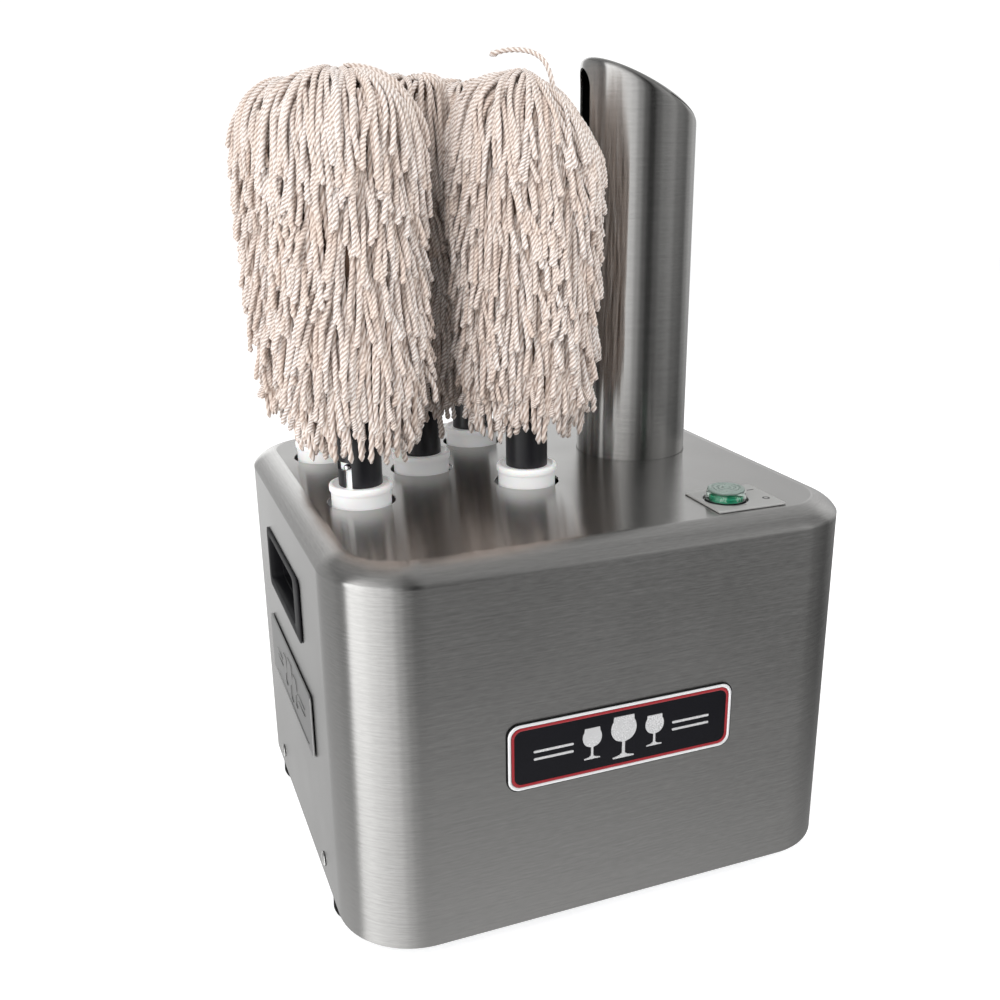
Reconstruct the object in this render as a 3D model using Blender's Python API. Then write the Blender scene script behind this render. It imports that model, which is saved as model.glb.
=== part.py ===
"""Countertop glass polisher with five spinning cotton brushes and a warm-air duct.

Metres, +Z up. X runs along the front face, the front looks along -Y, and the machine stands on z = 0.
The origin is the middle of the footprint. Every object is parented to an empty at the case's centre.
"""

from math import acos, cos, hypot, pi, radians, sin, sqrt, tan

import bmesh
import bpy
from mathutils import Matrix, Vector

# ---------------------------------------------------------------- driving dimensions
GAP = 0.0003  # air left between pieces that touch

CASE_W, CASE_D = 0.300, 0.2815  # case outside, along X and Y
CASE_FLOOR, CASE_TOP = 0.015, 0.230  # lower rim and top face of the cover
CASE_CORNER = 0.044  # radius of the four upright corners
TOP_ROUND_IN, TOP_ROUND_DOWN = 0.0138, 0.0088  # rounding of the top edge, inward and downward
SKIN = 0.0012  # sheet thickness
SIDE_Y = 0.004  # middle of the feet, screws and side fittings

SPINDLE_X, SPINDLE_Y = -0.0584, 0.0251  # centre spindle
SPACING = 0.050  # the outer spindles lie this far off it, both along X and along Y
TEETH = 20  # on each of the five spindle gears, which are alike
MODULE = SPACING * sqrt(2) / TEETH
SHAFT_R = 0.006
COLLAR_R, COLLAR_RIM_R = 0.0168, 0.0177
COLLAR_TOP = CASE_TOP + 0.0108
STEM_R, STEM_TOP = 0.0104, COLLAR_TOP + 0.040
SPINDLE_HOLE_R = 0.0190
PIN_R, PIN_Z = 0.0018, COLLAR_TOP + 0.0115

TUBE_R, TUBE_WALL = 0.0122, 0.0014
TUBE_FOOT, TUBE_TOP = COLLAR_TOP - 0.0007, 0.442
SLOT_W = 0.0048  # width of the bayonet slot in a brush tube
SLOT_TURN = 44  # how far its level leg runs round the tube, in degrees
MOP_FOOT, MOP_TOP = 0.257, 0.461
MOP_R, MOP_SQUEEZED_R = 0.0452, 0.0250  # outer brushes, and the one they press in on

GEAR_Z, GEAR_T = 0.118, 0.012
DRIVE_TEETH, PINION_TEETH, DRIVE_MODULE = 36, 12, 0.0020
DRIVE_Z, DRIVE_T = 0.106, 0.008
MOTOR_OFF = (DRIVE_TEETH + PINION_TEETH) * DRIVE_MODULE / 2
PLATE_T, LOWER_PLATE_Z, UPPER_PLATE_Z = 0.008, 0.092, 0.200
FRAME_HALF_X, FRAME_HALF_Y, LEG_HALF_X, LEG_T = 0.070, 0.0925, 0.052, 0.003

DUCT_X, DUCT_Y, DUCT_R, DUCT_WALL = 0.0822, 0.019, 0.0349, 0.0012
DUCT_HIGH, DUCT_LOW = 0.4685, 0.4322  # rim heights on the brush side and on the far side
DUCT_FOOT, DUCT_FLANGE_Z = 0.220, 0.2272
OUTLET_FACING, OUTLET_HALF = 169, 20  # middle and half width of the outlet, in degrees from +X
OUTLET_LOW, OUTLET_HIGH = 0.402, 0.4615

SOCKET_W, SOCKET_H = 0.0278, 0.0198

SWITCH_X, SWITCH_Y, BARREL_R = 0.079, -0.105, 0.0096
LABEL_X, LABEL_W, LABEL_D, LABEL_T = 0.085, 0.0425, 0.038, 0.001
BOOT_R, BOOT_RISE, SWITCH_HOLE_R = 0.0115, 0.0072, 0.0127
ROCKER_TILT = 6  # degrees either side of level

BADGE_Z, BADGE_W, BADGE_H, BADGE_CORNER = 0.1183, 0.1325, 0.0384, 0.0065
BADGE_RIM, BADGE_PROUD = 0.0032, 0.0016  # the mains inlet stands just as proud of the rear wall
INLET_X, INLET_Z = 0.075, 0.060
EMBLEM_Y, EMBLEM_Z, EMBLEM_W, EMBLEM_H, EMBLEM_T = 0.005, 0.1115, 0.128, 0.039, 0.0012
HANDLE_Y, HANDLE_Z, HANDLE_W, HANDLE_H, HANDLE_DEEP = 0.008, 0.1745, 0.102, 0.039, 0.027
SCREW_Z, SCREW_HALF, SCREW_HEAD_R, SCREW_PROUD = 0.0275, 0.0645, 0.0042, 0.0016
FOOT_X, FOOT_HALF, FOOT_R, STUD_R = 0.136, 0.079, 0.0122, 0.0036

CORNER_STEPS, EDGE_STEPS = 5, 4  # facets round the case's upright corners and over its top edge

# The outer brushes overhang the left wall, so the case sits a little off the footprint's middle.
LEFT_REACH = CASE_W / 2 + max(SCREW_PROUD, MOP_R + SPACING - SPINDLE_X - CASE_W / 2)
RIGHT_REACH = CASE_W / 2 + SCREW_PROUD
CASE_X = (LEFT_REACH - RIGHT_REACH) / 2

SMALL, ROUND, FINE = 10, 16, 20  # sides of small, of middling and of the largest round pieces

SPINDLES = {  # name: place in the pattern, and the angle of its locking pin in degrees
    "front_left": (-1, -1, 223),
    "front_right": (1, -1, 60),
    "centre": (0, 0, 184),
    "rear_left": (-1, 1, 120),
    "rear_right": (1, 1, 20),
}

# ---------------------------------------------------------------- materials
MATERIALS = {  # name: colour, roughness, metallic
    "brushed_steel": ((0.60, 0.60, 0.59), 0.32, 1.0),
    "zinc_steel": ((0.55, 0.56, 0.58), 0.40, 1.0),
    "bright_steel": ((0.75, 0.75, 0.76), 0.18, 1.0),
    "aluminium": ((0.70, 0.71, 0.72), 0.40, 1.0),
    "white_acetal": ((0.86, 0.86, 0.84), 0.35, 0.0),
    "gear_nylon": ((0.80, 0.77, 0.68), 0.50, 0.0),
    "black_anodised": ((0.02, 0.02, 0.03), 0.35, 0.3),
    "black_plastic": ((0.03, 0.03, 0.03), 0.45, 0.0),
    "black_gloss": ((0.02, 0.02, 0.025), 0.10, 0.0),
    "black_rubber": ((0.02, 0.02, 0.02), 0.80, 0.0),
    "cotton": ((0.80, 0.70, 0.62), 0.90, 0.0),
    "green_lens": ((0.00, 0.35, 0.17), 0.25, 0.0),
    "clear_vinyl": ((0.80, 0.88, 0.84), 0.10, 0.0),
    "label_satin": ((0.72, 0.72, 0.71), 0.35, 0.8),
    "motor_grey": ((0.20, 0.21, 0.22), 0.50, 0.2),
    "heater_ceramic": ((0.55, 0.53, 0.50), 0.70, 0.0),
}


def material(name):
    found = bpy.data.materials.get(name)
    if found:
        return found
    colour, roughness, metallic = MATERIALS[name]
    made = bpy.data.materials.new(name)
    made.use_nodes = True
    shader = made.node_tree.nodes["Principled BSDF"]
    shader.inputs["Base Color"].default_value = (*colour, 1.0)
    shader.inputs["Roughness"].default_value = roughness
    shader.inputs["Metallic"].default_value = metallic
    made.diffuse_color = (*colour, 1.0)
    return made


# ---------------------------------------------------------------- making solids
def to_object(name, bm, finish, at=(0.0, 0.0, 0.0), turn=0.0):
    """An object from a bmesh, at a place in the case's frame and turned about Z in degrees."""
    bmesh.ops.recalc_face_normals(bm, faces=bm.faces)
    mesh = bpy.data.meshes.new(name)
    bm.to_mesh(mesh)
    bm.free()
    mesh.shade_smooth()
    mesh.set_sharp_from_angle(angle=radians(35))
    mesh.materials.append(material(finish))
    made = bpy.data.objects.new(name, mesh)
    bpy.context.scene.collection.objects.link(made)
    made.parent = bpy.data.objects["case_centre"]
    made.location = at
    made.rotation_euler = (0.0, 0.0, radians(turn))
    return made


def bored(radius, sides):
    """Corner radius of a hole with flat sides that leaves GAP round a shaft of this radius."""
    return (radius + GAP) / cos(pi / sides)


def circle(radius, sides, centre=(0.0, 0.0), start=0.0):
    steps = [start + 2 * pi * k / sides for k in range(sides)]
    return [(centre[0] + radius * cos(a), centre[1] + radius * sin(a)) for a in steps]


def rounded(width, depth, corner, steps=4, centre=(0.0, 0.0)):
    """Rectangle with round corners, anticlockwise from the +X side."""
    points = []
    for quarter, (sx, sy) in enumerate(((1, 1), (-1, 1), (-1, -1), (1, -1))):
        cx = centre[0] + sx * (width / 2 - corner)
        cy = centre[1] + sy * (depth / 2 - corner)
        for k in range(steps + 1):
            a = (quarter + k / steps) * pi / 2
            points.append((cx + corner * cos(a), cy + corner * sin(a)))
    return points


def add_turned(bm, profile, sides, centre=(0.0, 0.0)):
    """Turns a closed profile of (radius, z) about an upright line. A radius of 0 closes on the axis."""
    rings = []
    for r, z in profile:
        if r == 0:
            rings.append([bm.verts.new((centre[0], centre[1], z))])
        else:
            rings.append([bm.verts.new((x, y, z)) for x, y in circle(r, sides, centre)])
    for ring, following in zip(rings, rings[1:] + rings[:1]):
        for k in range(sides):
            corners = [
                ring[k % len(ring)],
                ring[(k + 1) % len(ring)],
                following[(k + 1) % len(following)],
                following[k % len(following)],
            ]
            corners = list(dict.fromkeys(corners))
            if len(corners) > 2:
                bm.faces.new(corners)


def turned(name, profile, sides, finish, at=(0.0, 0.0, 0.0), turn=0.0):
    bm = bmesh.new()
    add_turned(bm, profile, sides)
    return to_object(name, bm, finish, at, turn)


def rod_profile(radius, low, high):
    return [(0, low), (radius, low), (radius, high), (0, high)]


def ring_profile(inner, outer, low, high):
    return [(inner, low), (outer, low), (outer, high), (inner, high)]


def add_extruded(bm, outline, low, high, holes=()):
    """A flat plate from z = low to high, with holes straight through it."""
    edges = []
    for loop in (outline, *holes):
        verts = [bm.verts.new((x, y, low)) for x, y in loop]
        edges += [bm.edges.new((verts[k - 1], verts[k])) for k in range(len(verts))]
    faces = bmesh.ops.triangle_fill(bm, edges=edges, use_beauty=True)["geom"]
    faces = [f for f in faces if isinstance(f, bmesh.types.BMFace)]
    lifted = bmesh.ops.extrude_face_region(bm, geom=faces, use_keep_orig=True)["geom"]
    lifted = [v for v in lifted if isinstance(v, bmesh.types.BMVert)]
    bmesh.ops.translate(bm, verts=lifted, vec=(0, 0, high - low))


def extruded(name, outline, low, high, finish, holes=(), at=(0.0, 0.0, 0.0), turn=0.0):
    bm = bmesh.new()
    add_extruded(bm, outline, low, high, holes)
    return to_object(name, bm, finish, at, turn)


def add_lofted(bm, rings):
    """Skins a stack of loops that have the same number of points, and closes both ends."""
    loops = [[bm.verts.new(p) for p in ring] for ring in rings]
    count = len(loops[0])
    for lower, upper in zip(loops, loops[1:]):
        for k in range(count):
            bm.faces.new((lower[k - 1], lower[k], upper[k], upper[k - 1]))
    bm.faces.new(loops[0])
    bm.faces.new(loops[-1])


def at_height(outline, z):
    return [(x, y, z) for x, y in outline]


def turn_mesh(bm, rotation, move=(0.0, 0.0, 0.0)):
    bmesh.ops.transform(bm, matrix=Matrix.Translation(move) @ rotation.to_4x4(), verts=bm.verts)


UPRIGHT_FACING_FRONT = Matrix(((1, 0, 0), (0, 0, -1), (0, 1, 0)))  # x, y, z becomes x, -z, y
FACING_LEFT = Matrix(((0, 0, -1), (-1, 0, 0), (0, 1, 0)))  # x, y, z becomes -z, -x, y
FACING_RIGHT = Matrix(((0, 0, 1), (1, 0, 0), (0, 1, 0)))  # x, y, z becomes z, x, y
FACING_REAR = Matrix(((-1, 0, 0), (0, 0, 1), (0, 1, 0)))  # x, y, z becomes -x, z, y
ALONG_X = Matrix(((0, 0, 1), (0, 1, 0), (-1, 0, 0)))  # x, y, z becomes z, y, -x


def box_verts(bm, low, high):
    middle = (Vector(low) + Vector(high)) / 2
    size = Vector(high) - Vector(low)
    place = Matrix.Translation(middle) @ Matrix.Diagonal((*size, 1.0))
    bmesh.ops.create_cube(bm, size=1.0, matrix=place)


def subtract(target, cutter):
    """Cuts one object from another, and keeps the cutter as a hidden guide."""
    cutter.hide_render = True
    cutter.display_type = "WIRE"
    change = target.modifiers.new("cut_" + cutter.name, "BOOLEAN")
    change.operation = "DIFFERENCE"
    change.object = cutter


def unite(target, piece):
    """Fuses a second shape into an object, and keeps that shape as a hidden guide."""
    piece.hide_render = True
    piece.display_type = "WIRE"
    change = target.modifiers.new("with_" + piece.name, "BOOLEAN")
    change.operation = "UNION"
    change.object = piece


def spindle_place(name):
    across, back, pin_angle = SPINDLES[name]
    return SPINDLE_X + across * SPACING, SPINDLE_Y + back * SPACING, pin_angle


# ---------------------------------------------------------------- case
def cover_ring(inset, z):
    """The cover's outline at one height, moved inward."""
    corner = CASE_CORNER - inset
    return at_height(rounded(CASE_W - 2 * inset, CASE_D - 2 * inset, corner, CORNER_STEPS), z)


def cover_rings(inset, floor, drop):
    """Outlines from the lower rim up over the rounded top edge, for the outside or the inside."""
    rings = [cover_ring(inset, floor)]
    for k in range(EDGE_STEPS + 1):
        a = k / EDGE_STEPS * pi / 2
        inward = inset + (TOP_ROUND_IN - inset) * (1 - cos(a))
        rings.append(cover_ring(inward, CASE_TOP - drop - (TOP_ROUND_DOWN - drop) * (1 - sin(a))))
    return rings


def add_cross_hole(bm, radius, reach, facing, place):
    """A level round cutter through a wall."""
    hole = bmesh.new()
    add_turned(hole, rod_profile(radius, -reach, reach), 8)
    turn_mesh(hole, facing, place)
    add_copy(bm, hole)


def screw_places():
    return [(side, SIDE_Y + end * SCREW_HALF) for side in (-1, 1) for end in (-1, 1)]


def cut_cover(cover):
    """Holes for the spindles, duct and switch, windows for the handles, and rear openings."""
    bm = bmesh.new()
    above, below = CASE_TOP + 0.01, CASE_TOP - 0.01
    for name in SPINDLES:
        x, y, _ = spindle_place(name)
        add_turned(bm, rod_profile(SPINDLE_HOLE_R, below, above), ROUND, (x, y))
    add_turned(bm, rod_profile(bored(DUCT_R, 32), below, above), 32, (DUCT_X, DUCT_Y))
    add_turned(bm, rod_profile(bored(BARREL_R, ROUND), below, above), ROUND, (SWITCH_X, SWITCH_Y))
    reach = 0.012
    half_w, half_h = HANDLE_W / 2 - 0.004, HANDLE_H / 2 - 0.004
    for wall in (-CASE_W / 2, CASE_W / 2):
        low = (wall - reach, HANDLE_Y - half_w, HANDLE_Z - half_h)
        box_verts(bm, low, (wall + reach, HANDLE_Y + half_w, HANDLE_Z + half_h))
    for side, y in screw_places():
        add_cross_hole(bm, 0.0023, reach, FACING_RIGHT, (side * CASE_W / 2, y, SCREW_Z))
    wall = CASE_D / 2
    for k in range(7):
        x = -0.085 + 0.012 * k
        box_verts(bm, (x - 0.0022, wall - reach, 0.050), (x + 0.0022, wall + reach, 0.100))
    half_w, half_h = SOCKET_W / 2 + 2 * GAP, SOCKET_H / 2 + 2 * GAP
    low = (INLET_X - half_w, wall - reach, INLET_Z - half_h)
    box_verts(bm, low, (INLET_X + half_w, wall + reach, INLET_Z + half_h))
    subtract(cover, to_object("cover_cutter", bm, "black_plastic"))


def add_copy(bm, other):
    """Moves everything in another bmesh into this one."""
    spare = bpy.data.meshes.new("spare")
    other.to_mesh(spare)
    other.free()
    bm.from_mesh(spare)
    bpy.data.meshes.remove(spare)


def housing_cover():
    """Deep-drawn sheet cover, open underneath: the outside and the inside join round the lower rim."""
    bm = bmesh.new()
    outside = cover_rings(0.0, CASE_FLOOR, 0.0)
    inside = cover_rings(SKIN, CASE_FLOOR, SKIN)
    add_lofted(bm, outside[::-1] + inside)
    cut_cover(to_object("housing_cover", bm, "brushed_steel"))


def base_tray():
    """Floor pan with turned-up edges, air slots under the blower and holes for the foot screws."""
    inset = SKIN + GAP
    floor, rim = CASE_FLOOR + 0.0012, 0.038
    outer = rounded(CASE_W - 2 * inset, CASE_D - 2 * inset, CASE_CORNER - inset, CORNER_STEPS)
    lower = inset + SKIN
    inner = rounded(CASE_W - 2 * lower, CASE_D - 2 * lower, CASE_CORNER - lower, CORNER_STEPS)
    bm = bmesh.new()
    rings = [at_height(outer, floor), at_height(outer, rim), at_height(inner, rim)]
    add_lofted(bm, rings + [at_height(inner, floor + SKIN)])
    tray = to_object("base_tray", bm, "zinc_steel")
    bm = bmesh.new()
    low, high = floor - 0.005, floor + 0.006
    for k in range(5):
        x = DUCT_X + (k - 2) * 0.011
        box_verts(bm, (x - 0.0017, DUCT_Y - 0.024, low), (x + 0.0017, DUCT_Y + 0.024, high))
    for x, y in foot_places().values():
        add_turned(bm, rod_profile(bored(STUD_R, SMALL), low, high), SMALL, (x, y))
    for side, y in screw_places():
        add_cross_hole(bm, 0.0023, 0.006, FACING_RIGHT, (side * (CASE_W / 2 - inset), y, SCREW_Z))
    subtract(tray, to_object("tray_cutter", bm, "black_plastic"))


def foot_places():
    ends = {"front": -1, "rear": 1}
    sides = {"left": -1, "right": 1}
    return {
        f"{end}_{side}": (sides[side] * FOOT_X, SIDE_Y + ends[end] * FOOT_HALF)
        for end in ends
        for side in sides
    }


def feet():
    """Rubber feet, each held by a stud that is pushed up through the tray."""
    under = CASE_FLOOR + 0.0012 - GAP
    over = CASE_FLOOR + 0.0012 + SKIN + GAP
    shape = [(0, 0), (FOOT_R - 0.0015, 0.0), (FOOT_R, 0.002), (FOOT_R - 0.0007, under), (STUD_R, under)]
    shape += [(STUD_R, over), (STUD_R + 0.0016, over), (STUD_R - 0.001, over + 0.005), (0, over + 0.005)]
    for name, (x, y) in foot_places().items():
        turned("foot_" + name, shape, SMALL, "black_rubber", (x, y, 0.0))


def side_screws():
    """Pan-head screws through the side walls into the tray's turned-up edge."""
    profile = [(0, -0.009), (0.0018, -0.009), (0.0018, GAP), (SCREW_HEAD_R, GAP)]
    profile += [(SCREW_HEAD_R * 0.8, SCREW_PROUD * 0.75), (SCREW_HEAD_R * 0.4, SCREW_PROUD), (0, SCREW_PROUD)]
    for side, y in screw_places():
        bm = bmesh.new()
        add_turned(bm, profile, SMALL)
        turn_mesh(bm, FACING_LEFT if side < 0 else FACING_RIGHT)
        name = ("front" if y < 0 else "rear") + ("_left" if side < 0 else "_right")
        to_object("side_screw_" + name, bm, "bright_steel", (side * CASE_W / 2, y, SCREW_Z))


def mains_inlet():
    """A flanged socket box through the rear wall, and three contacts on a block at its back."""
    front = BADGE_PROUD
    place = (INLET_X, CASE_D / 2, INLET_Z)
    flange = rounded(0.036, 0.028, 0.003, 2)
    sleeve = rounded(SOCKET_W, SOCKET_H, 0.002, 2)
    mouth = rounded(SOCKET_W - 0.0036, SOCKET_H - 0.0030, 0.0015, 2)
    back = -0.019
    rings = [at_height(sleeve, back), at_height(sleeve, GAP), at_height(flange, GAP)]
    rings += [at_height(flange, front), at_height(mouth, front), at_height(mouth, back + 0.0015)]
    bm = bmesh.new()
    add_lofted(bm, rings)
    turn_mesh(bm, FACING_REAR)
    to_object("mains_inlet", bm, "black_plastic", place)
    base = back + 0.0015 + GAP
    bm = bmesh.new()
    add_extruded(bm, rounded(SOCKET_W - 0.0046, SOCKET_H - 0.0040, 0.001, 1), base, base + 0.001)
    turn_mesh(bm, FACING_REAR)
    contacts = to_object("inlet_contacts", bm, "bright_steel", place)
    bm = bmesh.new()
    for x, y in ((-0.007, -0.002), (0.007, -0.002), (0.0, 0.003)):
        box_verts(bm, (x - 0.001, y - 0.002, base + 0.0004), (x + 0.001, y + 0.002, -0.003))
    turn_mesh(bm, FACING_REAR)
    unite(contacts, to_object("contact_pin_guide", bm, "bright_steel", place))


def side_fittings():
    """Pocket handles in the two side walls, and a raised emblem plate below each."""
    for name, side, facing in (("left", -1, FACING_LEFT), ("right", 1, FACING_RIGHT)):
        # Local x runs along the wall (towards -Y on the left wall), y upward and z out of the wall.
        wall = side * CASE_W / 2
        rim = rounded(HANDLE_W, HANDLE_H, 0.005, 2)
        body = rounded(HANDLE_W - 0.0088, HANDLE_H - 0.0088, 0.002, 2)
        mouth = rounded(HANDLE_W - 0.014, HANDLE_H - 0.013, 0.003, 2)
        floor = rounded(HANDLE_W - 0.022, HANDLE_H - 0.019, 0.003, 2)
        back = -HANDLE_DEEP
        rings = [at_height(body, back), at_height(body, GAP), at_height(rim, GAP), at_height(rim, 0.0011)]
        rings += [at_height(mouth, 0.0003), at_height(floor, back + 0.002)]
        bm = bmesh.new()
        add_lofted(bm, rings)
        turn_mesh(bm, facing, (wall, HANDLE_Y, HANDLE_Z))
        to_object("handle_" + name, bm, "black_plastic")
        bm = bmesh.new()
        add_extruded(bm, rounded(EMBLEM_W, EMBLEM_H, 0.003, 2), GAP, GAP + EMBLEM_T)
        turn_mesh(bm, facing, (wall, EMBLEM_Y, EMBLEM_Z))
        to_object("side_plate_" + name, bm, "brushed_steel")


def front_badge():
    """A bright rim on the front wall, and the dark plate that it frames."""
    wide, high = BADGE_W - 2 * BADGE_RIM, BADGE_H - 2 * BADGE_RIM
    hole = rounded(wide, high, BADGE_CORNER - BADGE_RIM, 4)
    place = (0.0, -CASE_D / 2, BADGE_Z)
    bm = bmesh.new()
    add_extruded(bm, rounded(BADGE_W, BADGE_H, BADGE_CORNER, 4), GAP, BADGE_PROUD, [hole])
    turn_mesh(bm, UPRIGHT_FACING_FRONT, place)
    to_object("badge_frame", bm, "bright_steel")
    bm = bmesh.new()
    inside = rounded(wide - 2 * GAP, high - 2 * GAP, BADGE_CORNER - BADGE_RIM - GAP, 4)
    add_extruded(bm, inside, GAP, BADGE_PROUD - 0.0003)
    turn_mesh(bm, UPRIGHT_FACING_FRONT, place)
    to_object("badge_face", bm, "black_gloss")


# ---------------------------------------------------------------- switch
def switch():
    """Round rocker switch under a clear splash boot, on a label plate."""
    plate_low = CASE_TOP + GAP
    plate_top = plate_low + LABEL_T
    hole = circle(SWITCH_HOLE_R, FINE, (SWITCH_X - LABEL_X, 0.0))
    label = rounded(LABEL_W, LABEL_D, 0.0008, 1)
    extruded("switch_plate", label, plate_low, plate_top, "label_satin", [hole], (LABEL_X, SWITCH_Y, 0.0))
    place = (SWITCH_X, SWITCH_Y, 0.0)
    # The body is a cup with a lip on the cover, and its socket for the rocker is open upward.
    socket, floor = 0.0084, CASE_TOP - 0.006
    cup = [(0, CASE_TOP - 0.026), (BARREL_R, CASE_TOP - 0.026), (BARREL_R, plate_low), (0.0117, plate_low)]
    cup += [(0.0117, plate_low + 0.001), (socket, plate_low + 0.001), (socket, floor), (0, floor)]
    turned("switch_body", cup, ROUND, "black_plastic", place)
    foot = plate_low + 0.001 + GAP
    crown = plate_top + BOOT_RISE
    thick = 0.0008
    boot = [(BOOT_R - thick, foot), (BOOT_R, foot), (BOOT_R, crown - 0.0012), (BOOT_R - 0.0012, crown)]
    boot += [(0, crown), (0, crown - thick), (BOOT_R - thick - 0.0008, crown - thick)]
    boot += [(BOOT_R - thick, crown - 0.0018)]
    turned("switch_boot", boot, FINE, "clear_vinyl", place)
    # The rocker stands on a pivot that runs along X, and at rest its front is pressed down.
    pivot = CASE_TOP + 0.0005
    bm = bmesh.new()
    add_turned(bm, [(0, -0.004), (0.0062, -0.004), (0.0076, 0.0), (0.0076, 0.0045), (0, 0.0052)], ROUND)
    rocker = to_object("switch_rocker", bm, "green_lens", (SWITCH_X, SWITCH_Y, pivot))
    rocker.rotation_euler = (radians(ROCKER_TILT), 0.0, 0.0)
    bm = bmesh.new()
    add_turned(bm, rod_profile(0.0009, -0.0079, 0.0079), 8)
    turn_mesh(bm, ALONG_X)
    unite(rocker, to_object("pivot_guide", bm, "green_lens", (SWITCH_X, SWITCH_Y, pivot)))


# ---------------------------------------------------------------- spindles and brushes
def gear_outline(teeth, module, phase):
    """Teeth with straight flanks drawn inside the 20 degree involute, so that two gears never bite."""
    pitch = teeth * module / 2
    base = pitch * cos(radians(20))
    root, tip = pitch - 1.25 * module, pitch + 0.92 * module

    def half_tooth(radius):
        slope = acos(base / radius)
        involute = tan(slope) - slope
        return pi / (2 * teeth) + tan(radians(20)) - radians(20) - involute

    flank = ((root, -half_tooth(base)), (tip, -half_tooth(tip)), (tip, half_tooth(tip)), (root, half_tooth(base)))
    points = []
    for k in range(teeth):
        middle = (k + phase) * 2 * pi / teeth
        points += [(r * cos(middle + a), r * sin(middle + a)) for r, a in flank]
    return points


def gear(name, teeth, module, phase, low, thick, bore_r, at):
    hole = circle(bored(bore_r, SMALL), SMALL)
    outline = gear_outline(teeth, module, phase)
    extruded(name, outline, low, low + thick, "gear_nylon", [hole], (*at, 0.0))


def spindle(name):
    """Shaft with its locking pin, gear, and the white collar whose stem carries the brush."""
    x, y, pin_angle = spindle_place(name)
    shaft = turned(
        "spindle_shaft_" + name,
        rod_profile(SHAFT_R, LOWER_PLATE_Z - 0.0025, STEM_TOP - 0.006),
        SMALL,
        "bright_steel",
        (x, y, 0.0),
    )
    pin = bmesh.new()
    add_turned(pin, rod_profile(PIN_R, 0.003, TUBE_R + 0.0016), 8)
    turn_mesh(pin, ALONG_X)
    unite(shaft, to_object("pin_guide_" + name, pin, "bright_steel", (x, y, PIN_Z), pin_angle))
    phase = 0.0 if name == "centre" else 0.5
    gear("spindle_gear_" + name, TEETH, MODULE, phase, GEAR_Z, GEAR_T, SHAFT_R, (x, y))
    bore_r = bored(SHAFT_R, ROUND)
    dish = COLLAR_TOP - 0.001
    foot, neck = UPPER_PLATE_Z + 0.012, COLLAR_TOP - 0.0035
    profile = [(bore_r, foot), (COLLAR_R, foot), (COLLAR_R, neck), (COLLAR_RIM_R, neck + 0.0008)]
    profile += [(COLLAR_RIM_R, COLLAR_TOP), (COLLAR_RIM_R - 0.0022, COLLAR_TOP), (COLLAR_RIM_R - 0.003, dish)]
    profile += [(STEM_R, dish), (STEM_R, STEM_TOP), (bore_r, STEM_TOP)]
    collar = turned("collar_" + name, profile, ROUND, "white_acetal", (x, y, 0.0))
    bm = bmesh.new()
    add_turned(bm, rod_profile(PIN_R + 2 * GAP, 0.003, TUBE_R + 0.004), 8)
    turn_mesh(bm, ALONG_X)
    subtract(collar, to_object("pin_cutter_" + name, bm, "black_plastic", (x, y, PIN_Z), pin_angle))


def sector(inner, outer, start, end, steps=6):
    """Outline of a part of a ring, between two angles in degrees."""
    angles = [radians(start + (end - start) * k / steps) for k in range(steps + 1)]
    near = [(inner * cos(a), inner * sin(a)) for a in angles]
    far = [(outer * cos(a), outer * sin(a)) for a in reversed(angles)]
    return near + far


def brush(name):
    """Black tube with a bayonet slot up from its foot, and the cotton mop round its upper part."""
    x, y, pin_angle = spindle_place(name)
    tube = turned(
        "brush_tube_" + name,
        ring_profile(TUBE_R - TUBE_WALL, TUBE_R, TUBE_FOOT, TUBE_TOP),
        ROUND,
        "black_anodised",
        (x, y, 0.0),
    )
    half = SLOT_W / 2
    bm = bmesh.new()
    box_verts(bm, (0.006, -half, TUBE_FOOT - 0.004), (0.018, half, PIN_Z + half))
    leg = to_object("slot_leg_cutter_" + name, bm, "black_plastic", (x, y, 0.0), pin_angle)
    subtract(tube, leg)
    reach = sector(0.006, 0.018, pin_angle - SLOT_TURN, pin_angle - 4)
    arm = extruded("slot_arm_cutter_" + name, reach, PIN_Z - half, PIN_Z + half, "black_plastic", (), (x, y, 0.0))
    subtract(tube, arm)
    widest = MOP_SQUEEZED_R if name == "centre" else MOP_R
    bore_r = bored(TUBE_R, ROUND)
    outline = [(0.022, MOP_FOOT), (0.034, MOP_FOOT + 0.012), (0.0415, 0.335), (MOP_R, 0.385)]
    outline += [(MOP_R, 0.415), (0.037, 0.444), (0.016, 0.460)]
    outline = [(min(r, widest), z) for r, z in outline]
    inside = [(0, MOP_TOP), (0, TUBE_TOP + GAP), (bore_r, TUBE_TOP + GAP), (bore_r, MOP_FOOT)]
    turned("mop_" + name, outline + inside, ROUND, "cotton", (x, y, 0.0))


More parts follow.
